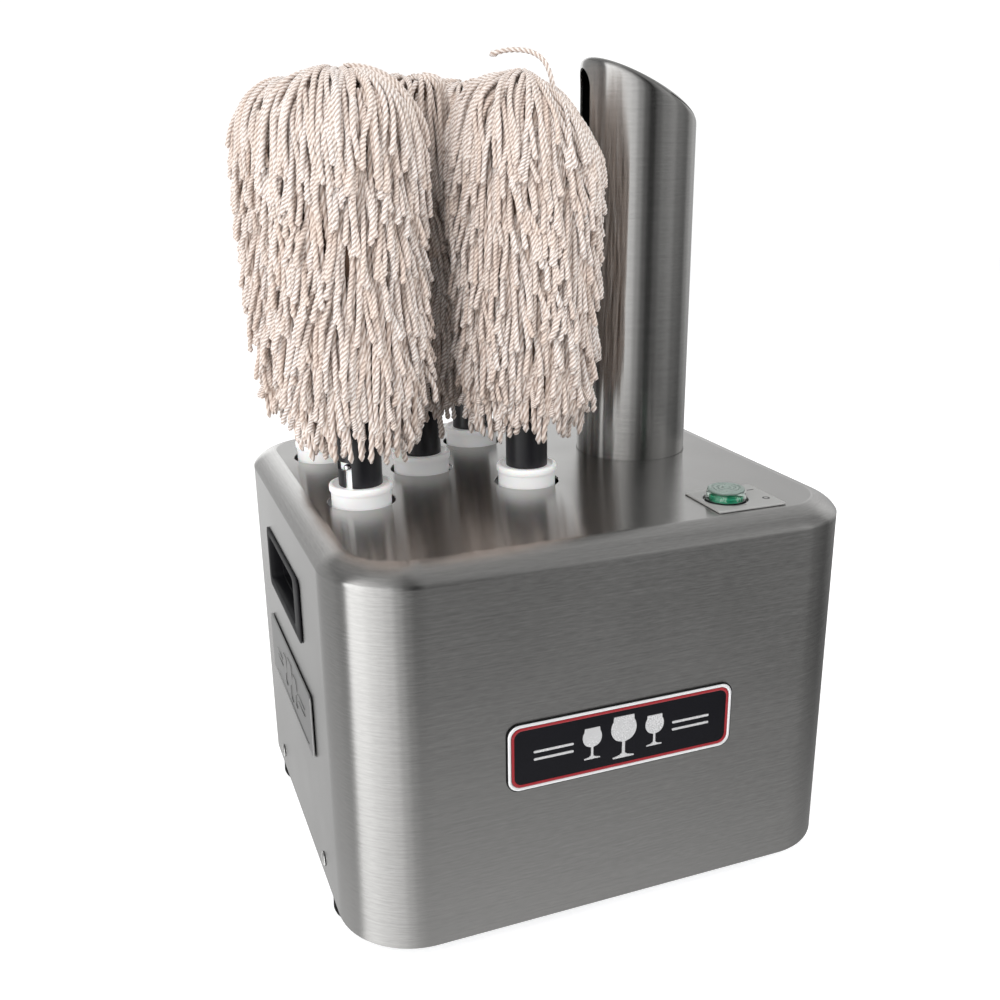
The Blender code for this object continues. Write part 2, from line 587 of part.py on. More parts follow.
# ---------------------------------------------------------------- drive
def bearing_frame():
    """Folded frame on two legs that holds the spindles' upper ends, and the plate under their gears."""
    bore = bored(SHAFT_R, SMALL)
    bores = [circle(bore, SMALL, (across * SPACING, back * SPACING)) for across, back, _ in SPINDLES.values()]
    place = (SPINDLE_X, SPINDLE_Y, 0.0)
    top = rounded(2 * FRAME_HALF_X, 2 * FRAME_HALF_Y, 0.010, 3)
    high = UPPER_PLATE_Z + PLATE_T
    frame = extruded("bearing_frame", top, UPPER_PLATE_Z, high, "aluminium", bores, place)
    foot = CASE_FLOOR + 0.0012 + SKIN + GAP
    for name, side in (("front", -1), ("rear", 1)):
        face, inner = side * FRAME_HALF_Y, side * (FRAME_HALF_Y - LEG_T)
        toe = side * (FRAME_HALF_Y - 0.018)
        section = [(face, foot), (face, high - 0.001), (inner, high - 0.001), (inner, foot + LEG_T)]
        section += [(toe, foot + LEG_T), (toe, foot)]
        bm = bmesh.new()
        add_extruded(bm, section, -LEG_HALF_X, LEG_HALF_X)
        turn_mesh(bm, Matrix(((0, 0, 1), (1, 0, 0), (0, 1, 0))))
        unite(frame, to_object(name + "_leg_guide", bm, "aluminium", place))
    shaft_hole = circle(0.0075, SMALL, (MOTOR_OFF, 0.0))
    half_y = FRAME_HALF_Y - LEG_T - GAP
    low = LOWER_PLATE_Z
    outline = rounded(2 * FRAME_HALF_X, 2 * half_y, 0.004, 2)
    extruded("lower_bearing_plate", outline, low, low + PLATE_T, "aluminium", [*bores, shaft_hole], place)


def drive():
    """Motor under the lower plate. Its pinion turns a large gear on the centre spindle."""
    x, y = SPINDLE_X + MOTOR_OFF, SPINDLE_Y
    gear("drive_gear", DRIVE_TEETH, DRIVE_MODULE, 0.0, DRIVE_Z, DRIVE_T, SHAFT_R, (SPINDLE_X, SPINDLE_Y))
    gear("motor_pinion", PINION_TEETH, DRIVE_MODULE, 0.5, DRIVE_Z, DRIVE_T, 0.004, (x, y))
    foot, head = 0.024, LOWER_PLATE_Z - GAP
    turned("motor_shaft", rod_profile(0.004, 0.075, DRIVE_Z + DRIVE_T + 0.002), SMALL, "bright_steel", (x, y, 0.0))
    socket = bored(0.004, ROUND)
    case = [(0, foot), (0.026, foot), (0.037, foot + 0.008), (0.037, head - 0.010), (0.030, head)]
    case += [(socket, head), (socket, 0.075 - GAP), (0, 0.075 - GAP)]
    turned("motor_body", case, ROUND, "motor_grey", (x, y, 0.0))
    floor = CASE_FLOOR + 0.0012 + SKIN + GAP
    turned("motor_capacitor", rod_profile(0.014, floor, 0.075), ROUND, "aluminium", (-0.095, -0.100, 0.0))


def warm_air():
    """Blower and heater that stand under the duct: air comes in through the tray and goes up."""
    place = (DUCT_X, DUCT_Y, 0.0)
    inner = bored(DUCT_R, FINE)
    outer = inner + 0.0016
    foot, split = CASE_FLOOR + 0.0012 + SKIN + GAP, 0.148
    turned("blower_housing", ring_profile(inner, outer, foot, split), FINE, "zinc_steel", place)
    head = 0.090
    motor = turned("blower_motor", rod_profile(0.020, 0.050, head), ROUND, "motor_grey", place)
    bm = bmesh.new()
    for k in range(3):
        arm = bmesh.new()
        box_verts(arm, (0.017, -0.002, 0.060), (inner * cos(pi / FINE) - GAP, 0.002, 0.070))
        turn_mesh(arm, Matrix.Rotation(2 * pi * k / 3 + pi / 12, 3, "Z"))
        add_copy(bm, arm)
    unite(motor, to_object("motor_arm_guide", bm, "motor_grey", place))
    impeller(place, head + GAP)
    top = DUCT_FLANGE_Z - GAP
    turned("heater_case", ring_profile(inner, outer, split + GAP, top), FINE, "zinc_steel", place)
    slots = [rounded(0.006, 0.052 - 0.004 * k * k, 0.001, 1, (0.0115 * k, 0.0)) for k in range(-2, 3)]
    block = circle(inner * cos(pi / FINE) - GAP, FINE)
    extruded("heater_element", block, 0.165, 0.183, "heater_ceramic", slots, place)


def impeller(place, shaft_foot):
    """Seven pitched blades round a hub, on a shaft that stands on the blower motor."""
    low, high = shaft_foot + 0.006, shaft_foot + 0.026
    profile = [(0, shaft_foot), (0.003, shaft_foot), (0.003, low), (0.012, low), (0.012, high), (0, high)]
    hub = turned("blower_impeller", profile, ROUND, "black_plastic", place)
    bm = bmesh.new()
    for k in range(7):
        blade = bmesh.new()
        box_verts(blade, (0.0095, -0.0010, -0.008), (0.0335, 0.0010, 0.008))
        turn_mesh(blade, Matrix.Rotation(2 * pi * k / 7, 3, "Z") @ Matrix.Rotation(radians(38), 3, "X"))
        add_copy(bm, blade)
    guide = to_object("blade_guide", bm, "black_plastic", (*place[:2], (low + high) / 2))
    unite(hub, guide)


def duct_ring(radius, drop):
    """The duct's slanted rim as a loop: high towards -X and low towards +X."""
    middle, rise = (DUCT_HIGH + DUCT_LOW) / 2, (DUCT_HIGH - DUCT_LOW) / 2
    loop = circle(radius, 32)
    return [(x, y, middle - drop - rise * x / DUCT_R) for x, y in loop]


def hot_air_duct():
    """Upright tube with a welded slanted lid and one rounded outlet that faces the brushes."""
    inner = DUCT_R - DUCT_WALL
    flange_top = CASE_TOP - SKIN - GAP
    outside = [at_height(circle(r, 32), z) for r, z in (
        (DUCT_R, DUCT_FOOT),
        (DUCT_R, DUCT_FLANGE_Z),
        (DUCT_R + 0.003, DUCT_FLANGE_Z),
        (DUCT_R + 0.003, flange_top),
        (DUCT_R, flange_top),
    )]
    outside += [duct_ring(DUCT_R, 0.0022)]
    outside += [duct_ring(DUCT_R - 0.0008, 0.0007), duct_ring(DUCT_R - 0.0025, 0.0)]
    inside = [duct_ring(inner - 0.0005, DUCT_WALL + 0.001), at_height(circle(inner, 32), DUCT_FOOT)]
    bm = bmesh.new()
    add_lofted(bm, outside[::-1] + inside[::-1])
    place = (DUCT_X, DUCT_Y, 0.0)
    duct = to_object("hot_air_duct", bm, "brushed_steel", place)
    half = DUCT_R * sin(radians(OUTLET_HALF))
    outline = rounded(2 * half, OUTLET_HIGH - OUTLET_LOW, half * 0.98, 4)
    bm = bmesh.new()
    add_extruded(bm, outline, 0.028, 0.045)
    facing = Matrix.Rotation(radians(OUTLET_FACING), 3, "Z") @ FACING_RIGHT
    turn_mesh(bm, facing, (0, 0, (OUTLET_LOW + OUTLET_HIGH) / 2))
    subtract(duct, to_object("outlet_cutter", bm, "black_plastic", place))


def main():
    for old in list(bpy.data.objects):
        bpy.data.objects.remove(old)
    centre = bpy.data.objects.new("case_centre", None)
    centre.location = (CASE_X, 0.0, 0.0)
    bpy.context.scene.collection.objects.link(centre)
    housing_cover()
    base_tray()
    feet()
    side_screws()
    mains_inlet()
    side_fittings()
    front_badge()
    switch()
    for name in SPINDLES:
        spindle(name)
        brush(name)
    bearing_frame()
    drive()
    warm_air()
    hot_air_duct()


main()
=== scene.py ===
from itertools import accumulate
from math import cos, pi, radians, sin, sqrt

import bmesh
import bpy
import numpy as np
from mathutils import Matrix, Vector


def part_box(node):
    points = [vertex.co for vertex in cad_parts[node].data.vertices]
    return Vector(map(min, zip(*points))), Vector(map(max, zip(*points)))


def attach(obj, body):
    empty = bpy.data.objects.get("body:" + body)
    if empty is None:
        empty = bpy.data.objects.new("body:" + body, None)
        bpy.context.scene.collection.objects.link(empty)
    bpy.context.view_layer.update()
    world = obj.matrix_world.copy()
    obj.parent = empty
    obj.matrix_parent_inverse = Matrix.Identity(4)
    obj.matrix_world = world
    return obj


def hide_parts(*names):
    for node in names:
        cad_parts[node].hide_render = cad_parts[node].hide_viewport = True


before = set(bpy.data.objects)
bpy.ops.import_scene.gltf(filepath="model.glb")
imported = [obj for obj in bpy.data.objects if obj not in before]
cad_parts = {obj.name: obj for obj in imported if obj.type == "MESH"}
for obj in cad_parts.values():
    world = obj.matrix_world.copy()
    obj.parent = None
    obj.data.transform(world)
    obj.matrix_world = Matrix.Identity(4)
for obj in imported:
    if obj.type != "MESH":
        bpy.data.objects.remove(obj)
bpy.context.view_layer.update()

# Looks of a countertop glass polisher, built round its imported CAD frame, in metres. Its front looks along -Y.

scene = bpy.context.scene

# ---------------------------------------------------------------- sizes that the frame's boxes don't give
SHARP = 32  # degrees between two faces from which their edge looks sharp
GAP = 0.0003  # between pieces that lie on each other
SKIN = 0.0012  # sheet thickness of the cover and of the duct
CASE_CORNER = 0.044
TOP_ROUND_IN, TOP_ROUND_DOWN = 0.0138, 0.0088
FLAT_BAND = 0.45  # 0 is a round top edge and 1 is a flat slope
SPINDLE_HOLE_R, SWITCH_HOLE_R = 0.0190, 0.0101
VENTS, VENT_W, VENT_TALL = 7, 0.0044, 0.050  # slots in the rear wall
VENT_X, VENT_PITCH, VENT_Z = -0.085, 0.012, 0.075
INLET_W, INLET_TALL = 0.0278, 0.0198  # the inlet's body behind the rear wall
HANDLE_MARGIN = 0.0088  # a pocket handle's lip is this much wider and taller than its body
FLANGE = 0.003  # how far the duct's foot flange stands out
LID_RISE, LID_CROWN = 0.01815, 0.0018  # the duct's lid slants by this much a radius, and bulges in its middle
OUTLET_TURN, OUTLET_HALF = 169, 20  # degrees from +X to its middle, and from there to its side
OUTLET_TALL, OUTLET_Z = 0.0595, 0.43175
STEM_RISE, STEM_R = 0.040, 0.0104  # a collar's stem above its rim
PIN_RISE, PIN_R, PIN_REACH = 0.0115, 0.0018, 0.0138  # the rise is above the rim, the reach from the axis
PIN_ANGLES = {"front_left": 223, "front_right": 60, "centre": 184, "rear_left": 120, "rear_right": 20}
TUBE_WALL, SLOT_W, SLOT_TURN = 0.0014, 0.0048, 44  # the bayonet slot turns by this many degrees
CORD_R = 0.00133  # mean radius of a mop's twisted cords
CORD_RING = 0.00115  # between a cord's rings: its three plies turn 60 degrees from one to the next
CORD_SIDES = 6
BULB_LENGTH, BULB_SWELL, END_ROUND = 0.0034, 1.26, 0.0019  # a cord's frayed free end, and how it rounds off
SLUMPED = "front_right"  # the mop that has settled on one side, away from the duct
SLUMP_TO = -18  # degrees from +X of that side
SLUMP_TALL, SLUMP_IN, SLUMP_DOWN = 0.062, 0.34, 0.006  # its reach down, share inward and drop
VIEW_TURN = -21.6  # degrees from the front to the camera

FRONT = Matrix(((1, 0, 0), (0, 0, -1), (0, 1, 0)))  # local x, y, z becomes x, -z, y
LEFT = Matrix(((0, 0, -1), (-1, 0, 0), (0, 1, 0)))  # becomes -z, -x, y
RIGHT = Matrix(((0, 0, 1), (1, 0, 0), (0, 1, 0)))  # becomes z, x, y
REAR = Matrix(((-1, 0, 0), (0, 0, 1), (0, 1, 0)))  # becomes -x, z, y
LYING = Matrix.Rotation(pi / 2, 3, "Y")  # becomes z, y, -x
SIDES = {"left": (-1, LEFT), "right": (1, RIGHT)}


def heading(degrees):
    """Turns about the upright line, from +X."""
    return Matrix.Rotation(radians(degrees), 3, "Z")


def centre_of(node):
    low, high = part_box(node)
    return (low + high) / 2


def axis_of(node):
    """Where a turned node's upright axis stands."""
    at = centre_of(node)
    return at.x, at.y


def on_wall(node, side):
    """The spot on the cover's side wall behind a node, the node's size, and how far it stands proud."""
    low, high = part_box(node)
    cover_low, cover_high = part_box("housing_cover")
    wall = cover_low.x if side < 0 else cover_high.x
    proud = (wall - low.x) if side < 0 else (high.x - wall)
    return (wall, (low.y + high.y) / 2, (low.z + high.z) / 2), high - low, proud


def new_material(name, **sockets):
    made = bpy.data.materials.new(name)
    made.use_nodes = True
    for socket, value in sockets.items():
        socket = socket.replace("_", " ").title().replace("Ior", "IOR")
        value = (*value, 1.0) if isinstance(value, tuple) else value
        made.node_tree.nodes["Principled BSDF"].inputs[socket].default_value = value
    return made


class Nodes:
    """Adds nodes to a tree in a few words. An input is a value or another node's output socket."""

    def __init__(self, tree):
        self.tree = tree

    def add(self, kind, output=0, inputs=(), **settings):
        node = self.tree.nodes.new("ShaderNode" + kind)
        for key, value in settings.items():
            setattr(node, key, value)
        for key, value in dict(inputs).items():
            self.feed(node.inputs[key], value)
        return node.outputs[output]

    def feed(self, socket, value):
        if isinstance(value, bpy.types.NodeSocket):
            self.tree.links.new(value, socket)
        else:
            socket.default_value = value

    def noise(self, vector, scale, detail=3.0, roughness=0.55):
        inputs = {"Vector": vector, "Scale": scale, "Detail": detail, "Roughness": roughness}
        return self.add("TexNoise", inputs=inputs)

    def attribute(self, name):
        return self.add("Attribute", output="Fac", attribute_name=name)

    def ramp(self, value, low, high, to_low=0.0, to_high=1.0):
        inputs = {"Value": value, "From Min": low, "From Max": high, "To Min": to_low, "To Max": to_high}
        return self.add("MapRange", inputs=inputs)

    def mix(self, share, one, other):
        inputs = {0: share, 6: (*one, 1.0) if isinstance(one, tuple) else one}
        inputs[7] = (*other, 1.0) if isinstance(other, tuple) else other
        return self.add("Mix", output=2, data_type="RGBA", inputs=inputs)

    def math(self, operation, *values):
        return self.add("Math", operation=operation, inputs=dict(enumerate(values)))

    def surface(self, colour, height, distance, **others):
        """Feeds the shader its colour, a bump of this height and distance, and any other input by name."""
        bump = self.add("Bump", inputs={"Strength": 1.0, "Distance": distance, "Height": height})
        shader = self.tree.nodes["Principled BSDF"]
        for socket, value in {"Base Color": colour, "Normal": bump, **others}.items():
            self.feed(shader.inputs[socket], value)


def shades_of(colour, spread):
    """A colour made darker and lighter by a share of itself."""
    return tuple(c * (1 - spread) for c in colour), tuple(min(1.0, c * (1 + spread)) for c in colour)


def grained(name, colour, roughness, scale=1500.0, spread=0.08, bump=0.00004, **sockets):
    """A fine moulded, cast or plated grain: mottled colour, uneven gloss and a shallow bump."""
    made = new_material(name, **sockets)
    nodes = Nodes(made.node_tree)
    place = nodes.add("TexCoord", output="Object")
    fine = nodes.noise(place, scale)
    broad = nodes.noise(place, scale / 30, detail=2.0)
    mottled = nodes.mix(nodes.ramp(broad, 0.3, 0.7), *shades_of(colour, spread))
    rough = nodes.ramp(nodes.math("ADD", fine, broad), 0.6, 1.4, roughness * 0.82, roughness * 1.2)
    nodes.surface(mottled, fine, bump, Roughness=rough)
    return made


def brushed(name, colour, roughness, contrast=0.11, bump=0.0000025, metallic=1.0):
    """Brushed sheet metal. The map named grain has u across the brush lines and v along them, in metres."""
    made = new_material(name, metallic=metallic, anisotropic=1.0)
    nodes = Nodes(made.node_tree)
    grain = nodes.add("UVMap", uv_map="grain")
    fine = nodes.add("Mapping", inputs={"Vector": grain, "Scale": (1100, 130, 1)})
    long = nodes.add("Mapping", inputs={"Vector": grain, "Scale": (900, 9, 1)})
    hair, lines = nodes.noise(fine, 1.0, 4.0, 0.65), nodes.noise(long, 1.0, 3.0, 0.6)
    cloud = nodes.noise(nodes.add("TexCoord", output="Object"), 22.0, 2.0)
    streaks = nodes.math("ADD", nodes.math("MULTIPLY", hair, 0.6), nodes.math("MULTIPLY", lines, 0.4))
    streaked = nodes.mix(nodes.ramp(streaks, 0.32, 0.68), *shades_of(colour, contrast))
    uneven = nodes.math("ADD", streaks, nodes.math("MULTIPLY", cloud, 0.35))
    rough = nodes.ramp(uneven, 0.45, 0.9, roughness * 0.86, roughness * 1.16)
    tangent = nodes.add("Tangent", direction_type="UV_MAP", uv_map="grain")
    nodes.surface(streaked, streaks, bump, Roughness=rough, Tangent=tangent)
    return made


def cotton(name, pale, deep, groove_painted_shade):
    """Twisted cotton yarn, with painted shade in the grooves between its plies. The mesh's ply is 1 on a ply and
    0 in a groove, and its tint is even along a cord.
    """
    made = new_material(name, roughness=0.92, sheen_weight=0.12, sheen_roughness=0.6, specular_ior_level=0.15)
    nodes = Nodes(made.node_tree)
    place = nodes.add("TexCoord", output="Object")
    fibre = nodes.noise(place, 2600.0, 3.0, 0.7)
    stain = nodes.noise(place, 60.0, 2.0)
    body = nodes.mix(nodes.ramp(nodes.math("ADD", nodes.attribute("tint"), stain), 0.35, 1.45), pale, deep)
    fuzz = nodes.math("MULTIPLY", fibre, 0.35)
    # Painted shade: where ply is low, in the grooves, the yarn takes the dark shade colour instead of its own.
    groove = nodes.ramp(nodes.math("ADD", nodes.attribute("ply"), fuzz), 0.15, 0.95)
    nodes.surface(nodes.mix(groove, groove_painted_shade, body), fibre, 0.00016)
    return made


WHITE = (1.0, 1.0, 1.0)
STEEL = brushed("brushed_steel", (0.50, 0.495, 0.485), 0.21)
DUCT_STEEL = brushed("duct_steel", (0.46, 0.455, 0.445), 0.19, contrast=0.09)
PLATE_STEEL = brushed("plate_steel", (0.46, 0.46, 0.455), 0.30)
LABEL = brushed("label_satin", (0.50, 0.50, 0.49), 0.36, contrast=0.05, metallic=0.4)
# The duct's inner wall is near black: painted shade inside the duct.
DUCT_INSIDE_PAINTED_SHADE = grained("duct_inside_painted_shade", (0.03, 0.028, 0.027), 0.6, metallic=0.4)
CHROME = grained("silver_rim", (0.80, 0.80, 0.81), 0.22, 900, 0.03, 0.000006, metallic=0.35)
SCREW_STEEL = grained("screw_steel", (0.78, 0.78, 0.77), 0.18, 1800, 0.06, 0.00001, metallic=1.0)
ENAMEL = grained("red_enamel", (0.27, 0.016, 0.022), 0.25, 900, 0.05, 0.00001)
GLOSS = grained(
    "black_gloss", (0.006, 0.006, 0.008), 0.12, 700, 0.10, 0.000008,
    specular_ior_level=0.22, coat_weight=0.25, coat_roughness=0.05,
)
SILVER = grained("emblem_silver", (0.72, 0.72, 0.73), 0.26, 1600, 0.05, 0.00001, metallic=0.45)
INK = grained("label_ink", (0.012, 0.012, 0.012), 0.5)
# The collars' white plastic also glows faintly: a painted glow that lightens them where they lie in shade.
ACETAL_PAINTED_GLOW = grained(
    "white_acetal", (0.93, 0.93, 0.92), 0.38, 1200, 0.02, 0.00001,
    subsurface_weight=0.25, subsurface_scale=0.003, emission_color=WHITE, emission_strength=0.16,
)
ANODISED = grained("black_anodised", (0.010, 0.010, 0.013), 0.34, 2600, 0.15, 0.00002, specular_ior_level=0.6)
PLASTIC = grained("black_plastic", (0.007, 0.007, 0.008), 0.42, 2200, 0.15, 0.00005, specular_ior_level=0.10)
RUBBER = grained("black_rubber", (0.009, 0.009, 0.009), 0.85, 1400, 0.2, 0.00008, specular_ior_level=0.12)
GREEN = grained(
    "green_lens", (0.0, 0.20, 0.11), 0.22, 900, 0.12, 0.00003,
    emission_color=(0.0, 0.50, 0.22), emission_strength=0.12, coat_weight=0.5,
)
CLEAR = grained(
    "clear_vinyl", (0.90, 0.97, 0.93), 0.06, 500, 0.02, 0.00003,
    transmission_weight=1.0, ior=1.42,
)
MILKY = grained(
    "milky_vinyl", (0.34, 0.42, 0.385), 0.30, 700, 0.04, 0.00002,
    transmission_weight=0.35, ior=1.42,
)
ZINC = grained("zinc_steel", (0.50, 0.51, 0.53), 0.42, 260, 0.12, 0.00002, metallic=1.0)
BRIGHT = grained("bright_steel", (0.72, 0.72, 0.73), 0.20, 1500, 0.04, 0.00001, metallic=1.0)
ALUMINIUM = grained("aluminium", (0.66, 0.67, 0.68), 0.40, 1800, 0.05, 0.00002, metallic=1.0)
NYLON = grained("gear_nylon", (0.76, 0.72, 0.62), 0.5, 1500, 0.04, 0.00003)
MOTOR = grained("motor_grey", (0.16, 0.17, 0.18), 0.5, 1500, 0.10, 0.00006)
CERAMIC = grained("heater_ceramic", (0.50, 0.48, 0.45), 0.75, 1200, 0.12, 0.00010)
COTTON = cotton("cotton", (0.88, 0.845, 0.825), (0.80, 0.69, 0.62), (0.40, 0.29, 0.23))
# The core's yarn is coloured far darker than the cords: painted shade for the gaps between them.
COTTON_CORE_PAINTED_SHADE = cotton("cotton_core_painted_shade", (0.22, 0.15, 0.11), (0.17, 0.11, 0.08), (0.07, 0.045, 0.03))


# ---------------------------------------------------------------- making meshes
def finish_mesh(name, bm, facing=None, at=(0, 0, 0), sharp=SHARP):
    """A smooth-shaded mesh of a bmesh, turned and moved to its place."""
    if facing is not None:
        bmesh.ops.transform(bm, matrix=Matrix.Translation(at) @ facing.to_4x4(), verts=bm.verts)
    bmesh.ops.recalc_face_normals(bm, faces=bm.faces)
    mesh = bpy.data.meshes.new(name)
    bm.to_mesh(mesh)
    bm.free()
    mesh.shade_smooth()
    mesh.set_sharp_from_angle(angle=radians(sharp))
    return mesh


def piece(name, shape, material, *stands_for, body="case", **placing):
    """Shows a mesh or a bmesh as part of the object. It moves with a CAD body and stands for CAD nodes."""
    mesh = finish_mesh(name, shape, **placing) if isinstance(shape, bmesh.types.BMesh) else shape
    made = bpy.data.objects.new(name, mesh)
    scene.collection.objects.link(made)
    mesh.materials.append(material)
    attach(made, body)
    if stands_for:
        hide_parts(*stands_for)
    return made


def moved(bm, facing, at, into=None):
    """A bmesh turned and moved, on its own or added to another."""
    mesh = finish_mesh("spare", bm, facing, at)
    whole = bmesh.new() if into is None else into
    whole.from_mesh(mesh)
    bpy.data.meshes.remove(mesh)
    return whole


def lay_uv(layer, face, corners):
    for corner, uv in zip(face.loops, corners):
        corner[layer].uv = uv


def steps_round(outline):
    """The length of each side of a closed outline."""
    return [(Vector(after) - Vector(at)).length for at, after in zip(outline, outline[1:] + outline[:1])]


def add_skin(bm, rings, loop=False, caps=True):
    """Faces through a stack of outlines, closed to a loop or by end caps. The grain map runs round them."""
    layer = bm.loops.layers.uv.get("grain") or bm.loops.layers.uv.new("grain")
    loops = [[bm.verts.new(p) for p in ring] for ring in rings]
    count = len(loops[0])
    along = [0.0, *accumulate(max((steps_round(ring) for ring in rings), key=sum))]
    across = 0.0
    for lower, upper in zip(loops, loops[1:] + loops[:1] if loop else loops[1:]):
        step = sum((upper[k].co - lower[k].co).length for k in range(count)) / count
        low, high = across, across + step
        for k in range(count):
            n = (k + 1) % count
            face = bm.faces.new((lower[k], lower[n], upper[n], upper[k]))
            start, end = along[k], along[k + 1]
            lay_uv(layer, face, ((low, start), (low, end), (high, end), (high, start)))
        across += step
    for ring in (loops[0], loops[-1]) if caps and not loop else ():
        face = bm.faces.new(ring)
        lay_uv(layer, face, [(v.co.y, v.co.x) for v in ring])


def skin(rings, loop=False):
    bm = bmesh.new()
    add_skin(bm, rings, loop)
    return bm


def circle(radius, sides, centre=(0.0, 0.0)):
    angles = [2 * pi * k / sides for k in range(sides)]
    return [(centre[0] + radius * cos(a), centre[1] + radius * sin(a)) for a in angles]


def rounded(width, height, corner, steps=6, centre=(0.0, 0.0), ease=0.0):
    """Rectangle with round corners. With ease, each side also has a point this far from its two ends."""
    points = []
    for quarter, (sx, sy) in enumerate(((1, 1), (-1, 1), (-1, -1), (1, -1))):
        cx = centre[0] + sx * (width / 2 - corner)
        cy = centre[1] + sy * (height / 2 - corner)
        angles = [(quarter + k / steps) * pi / 2 for k in range(steps + 1)]
        arc = [(cx + corner * cos(a), cy + corner * sin(a)) for a in angles]
        if ease:
            first, last = angles[0], angles[-1]
            arc.insert(0, (arc[0][0] + ease * sin(first), arc[0][1] - ease * cos(first)))
            arc.append((arc[-1][0] - ease * sin(last), arc[-1][1] + ease * cos(last)))
        points += arc
    return points


def level(outline, z):
    return [(x, y, z) for x, y in outline]


def plates(table, *shape):
    """An outline at its height for each row of width, height, corner radius and z."""
    return [level(rounded(wide, tall, corner, *shape), z) for wide, tall, corner, z in table]


def insets(section, wide, tall, corner, steps, ease, share=1.0):
    """Outlines of a round-cornered rim. Its section is a list of distances in from the edge and heights."""
    table = [(wide - 2 * inset, tall - 2 * inset, corner - inset * share, z) for inset, z in section]
    return plates(table, steps, (0.0, 0.0), ease)


def soften(profile, radius, steps):
    """Rounds the inner points of an open profile with arcs of about this radius."""
    points = [Vector(p) for p in profile]
    out = [points[0]]
    for before, at, after in zip(points, points[1:], points[2:]):
        back, on = before - at, after - at
        reach = min(radius, back.length * 0.45, on.length * 0.45)
        start, end = at + back.normalized() * reach, at + on.normalized() * reach
        for k in range(steps + 1):
            t = k / steps
            out.append(start * (1 - t) ** 2 + at * 2 * t * (1 - t) + end * t * t)
    out.append(points[-1])
    return [tuple(p) for p in out]


def add_turned(bm, profile, sides, centre=(0.0, 0.0), loop=False):
    """Turns a profile of (radius, z) about an upright line."""
    add_skin(bm, [level(circle(r, sides, centre), z) for r, z in profile], loop)


def turned(profile, sides, centre=(0.0, 0.0), loop=False):
    bm = bmesh.new()
    add_turned(bm, profile, sides, centre, loop)
    return bm


def add_plate(bm, outline, low, high):
    """A flat plate whose outline may be any shape."""
    add_skin(bm, [level(outline, low), level(outline, high)])


def plate(outline, low, high):
    bm = bmesh.new()
    add_plate(bm, outline, low, high)
    return bm


def carve(made, *cutters):
    """Cuts closed bmeshes out of a piece for good. The piece keeps its maps and its smooth shading."""
    tools = []
    for bm in cutters:
        tool = bpy.data.objects.new("cutter", finish_mesh("cutter", bm))
        scene.collection.objects.link(tool)
        tool.hide_render = True
        tools.append(tool)
        change = made.modifiers.new("cut", "BOOLEAN")
        change.operation = "DIFFERENCE"
        change.object = tool
    bpy.context.view_layer.update()
    graph = bpy.context.evaluated_depsgraph_get()
    cut = made.evaluated_get(graph)
    mesh = bpy.data.meshes.new_from_object(cut, preserve_all_data_layers=True, depsgraph=graph)
    made.modifiers.clear()
    made.data = mesh
    mesh.shade_smooth()
    mesh.set_sharp_from_angle(angle=radians(SHARP))
    for tool in tools:
        bpy.data.objects.remove(tool)


def bevel(made, width, angle=35):
    """Breaks a piece's sharp edges."""
    change = made.modifiers.new("broken_edges", "BEVEL")
    change.width = width
    change.segments = 2
    change.limit_method = "ANGLE"
    change.angle_limit = radians(angle)
    change.harden_normals = True


# ---------------------------------------------------------------- case
def cover_outline(inset, z):
    low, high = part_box("housing_cover")
    middle = ((low.x + high.x) / 2, (low.y + high.y) / 2)
    size = (high.x - low.x - 2 * inset, high.y - low.y - 2 * inset)
    return level(rounded(*size, CASE_CORNER - inset, 22, middle, 0.0012), z)


def cover_wall(inset, floor, top):
    """Outlines from the lower rim up over the rounded top edge."""
    ease, steps = 0.0015, 12
    rings = [cover_outline(inset, z) for z in (floor, floor + ease, top - TOP_ROUND_DOWN - ease)]
    for k in range(steps + 1):
        share, a = k / steps, k / steps * pi / 2
        inward = (1 - cos(a)) * (1 - FLAT_BAND) + share * FLAT_BAND
        down = (1 - sin(a)) * (1 - FLAT_BAND) + (1 - share) * FLAT_BAND
        z = top - (TOP_ROUND_DOWN - inset) * down
        rings.append(cover_outline(inset + (TOP_ROUND_IN - inset) * inward, z))
    rings.append(cover_outline(TOP_ROUND_IN + 0.0012, top))
    return rings


def housing_cover():
    """Deep-drawn brushed cover with a rolled top edge, and every opening in it."""
    low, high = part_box("housing_cover")
    floor, top = low.z, high.z
    outside = [cover_outline(GAP, floor), cover_outline(0.0, floor + GAP), *cover_wall(0.0, floor, top)[1:]]
    cover = piece("cover", skin(outside[::-1] + cover_wall(SKIN, floor, top - SKIN)), STEEL, "housing_cover")
    reach = 0.01
    holes = bmesh.new()
    for name in PIN_ANGLES:
        hole = [(SPINDLE_HOLE_R, top - reach), (SPINDLE_HOLE_R, top - GAP), (SPINDLE_HOLE_R + GAP, top)]
        add_turned(holes, [*hole, (SPINDLE_HOLE_R + GAP, top + reach)], 72, axis_of("collar_" + name))
    round_holes = ("hot_air_duct", duct_radius() + GAP, 128), ("switch_body", SWITCH_HOLE_R, 48)
    for node, radius, sides in round_holes:
        add_turned(holes, [(radius, top - reach), (radius, top + reach)], sides, axis_of(node))
    reach = 0.012
    windows, rear = bmesh.new(), bmesh.new()
    for side, (way, facing) in SIDES.items():
        at, size, _ = on_wall("handle_" + side, way)
        margin = HANDLE_MARGIN - 0.0008
        window = rounded(size.y - margin, size.z - margin, 0.0018)
        moved(plate(window, -reach, reach), facing, at, windows)
    for k in range(VENTS):
        vent = plate(rounded(VENT_W, VENT_TALL, VENT_W / 2 - 0.00001), -reach, reach)
        moved(vent, REAR, (centre_of("housing_cover").x + VENT_X + VENT_PITCH * k, high.y, VENT_Z), rear)
    inlet = centre_of("mains_inlet")
    opening = rounded(INLET_W + 0.0012, INLET_TALL + 0.0012, 0.0022)
    moved(plate(opening, -reach, reach), REAR, (inlet.x, high.y, inlet.z), rear)
    carve(cover, holes, windows, rear)


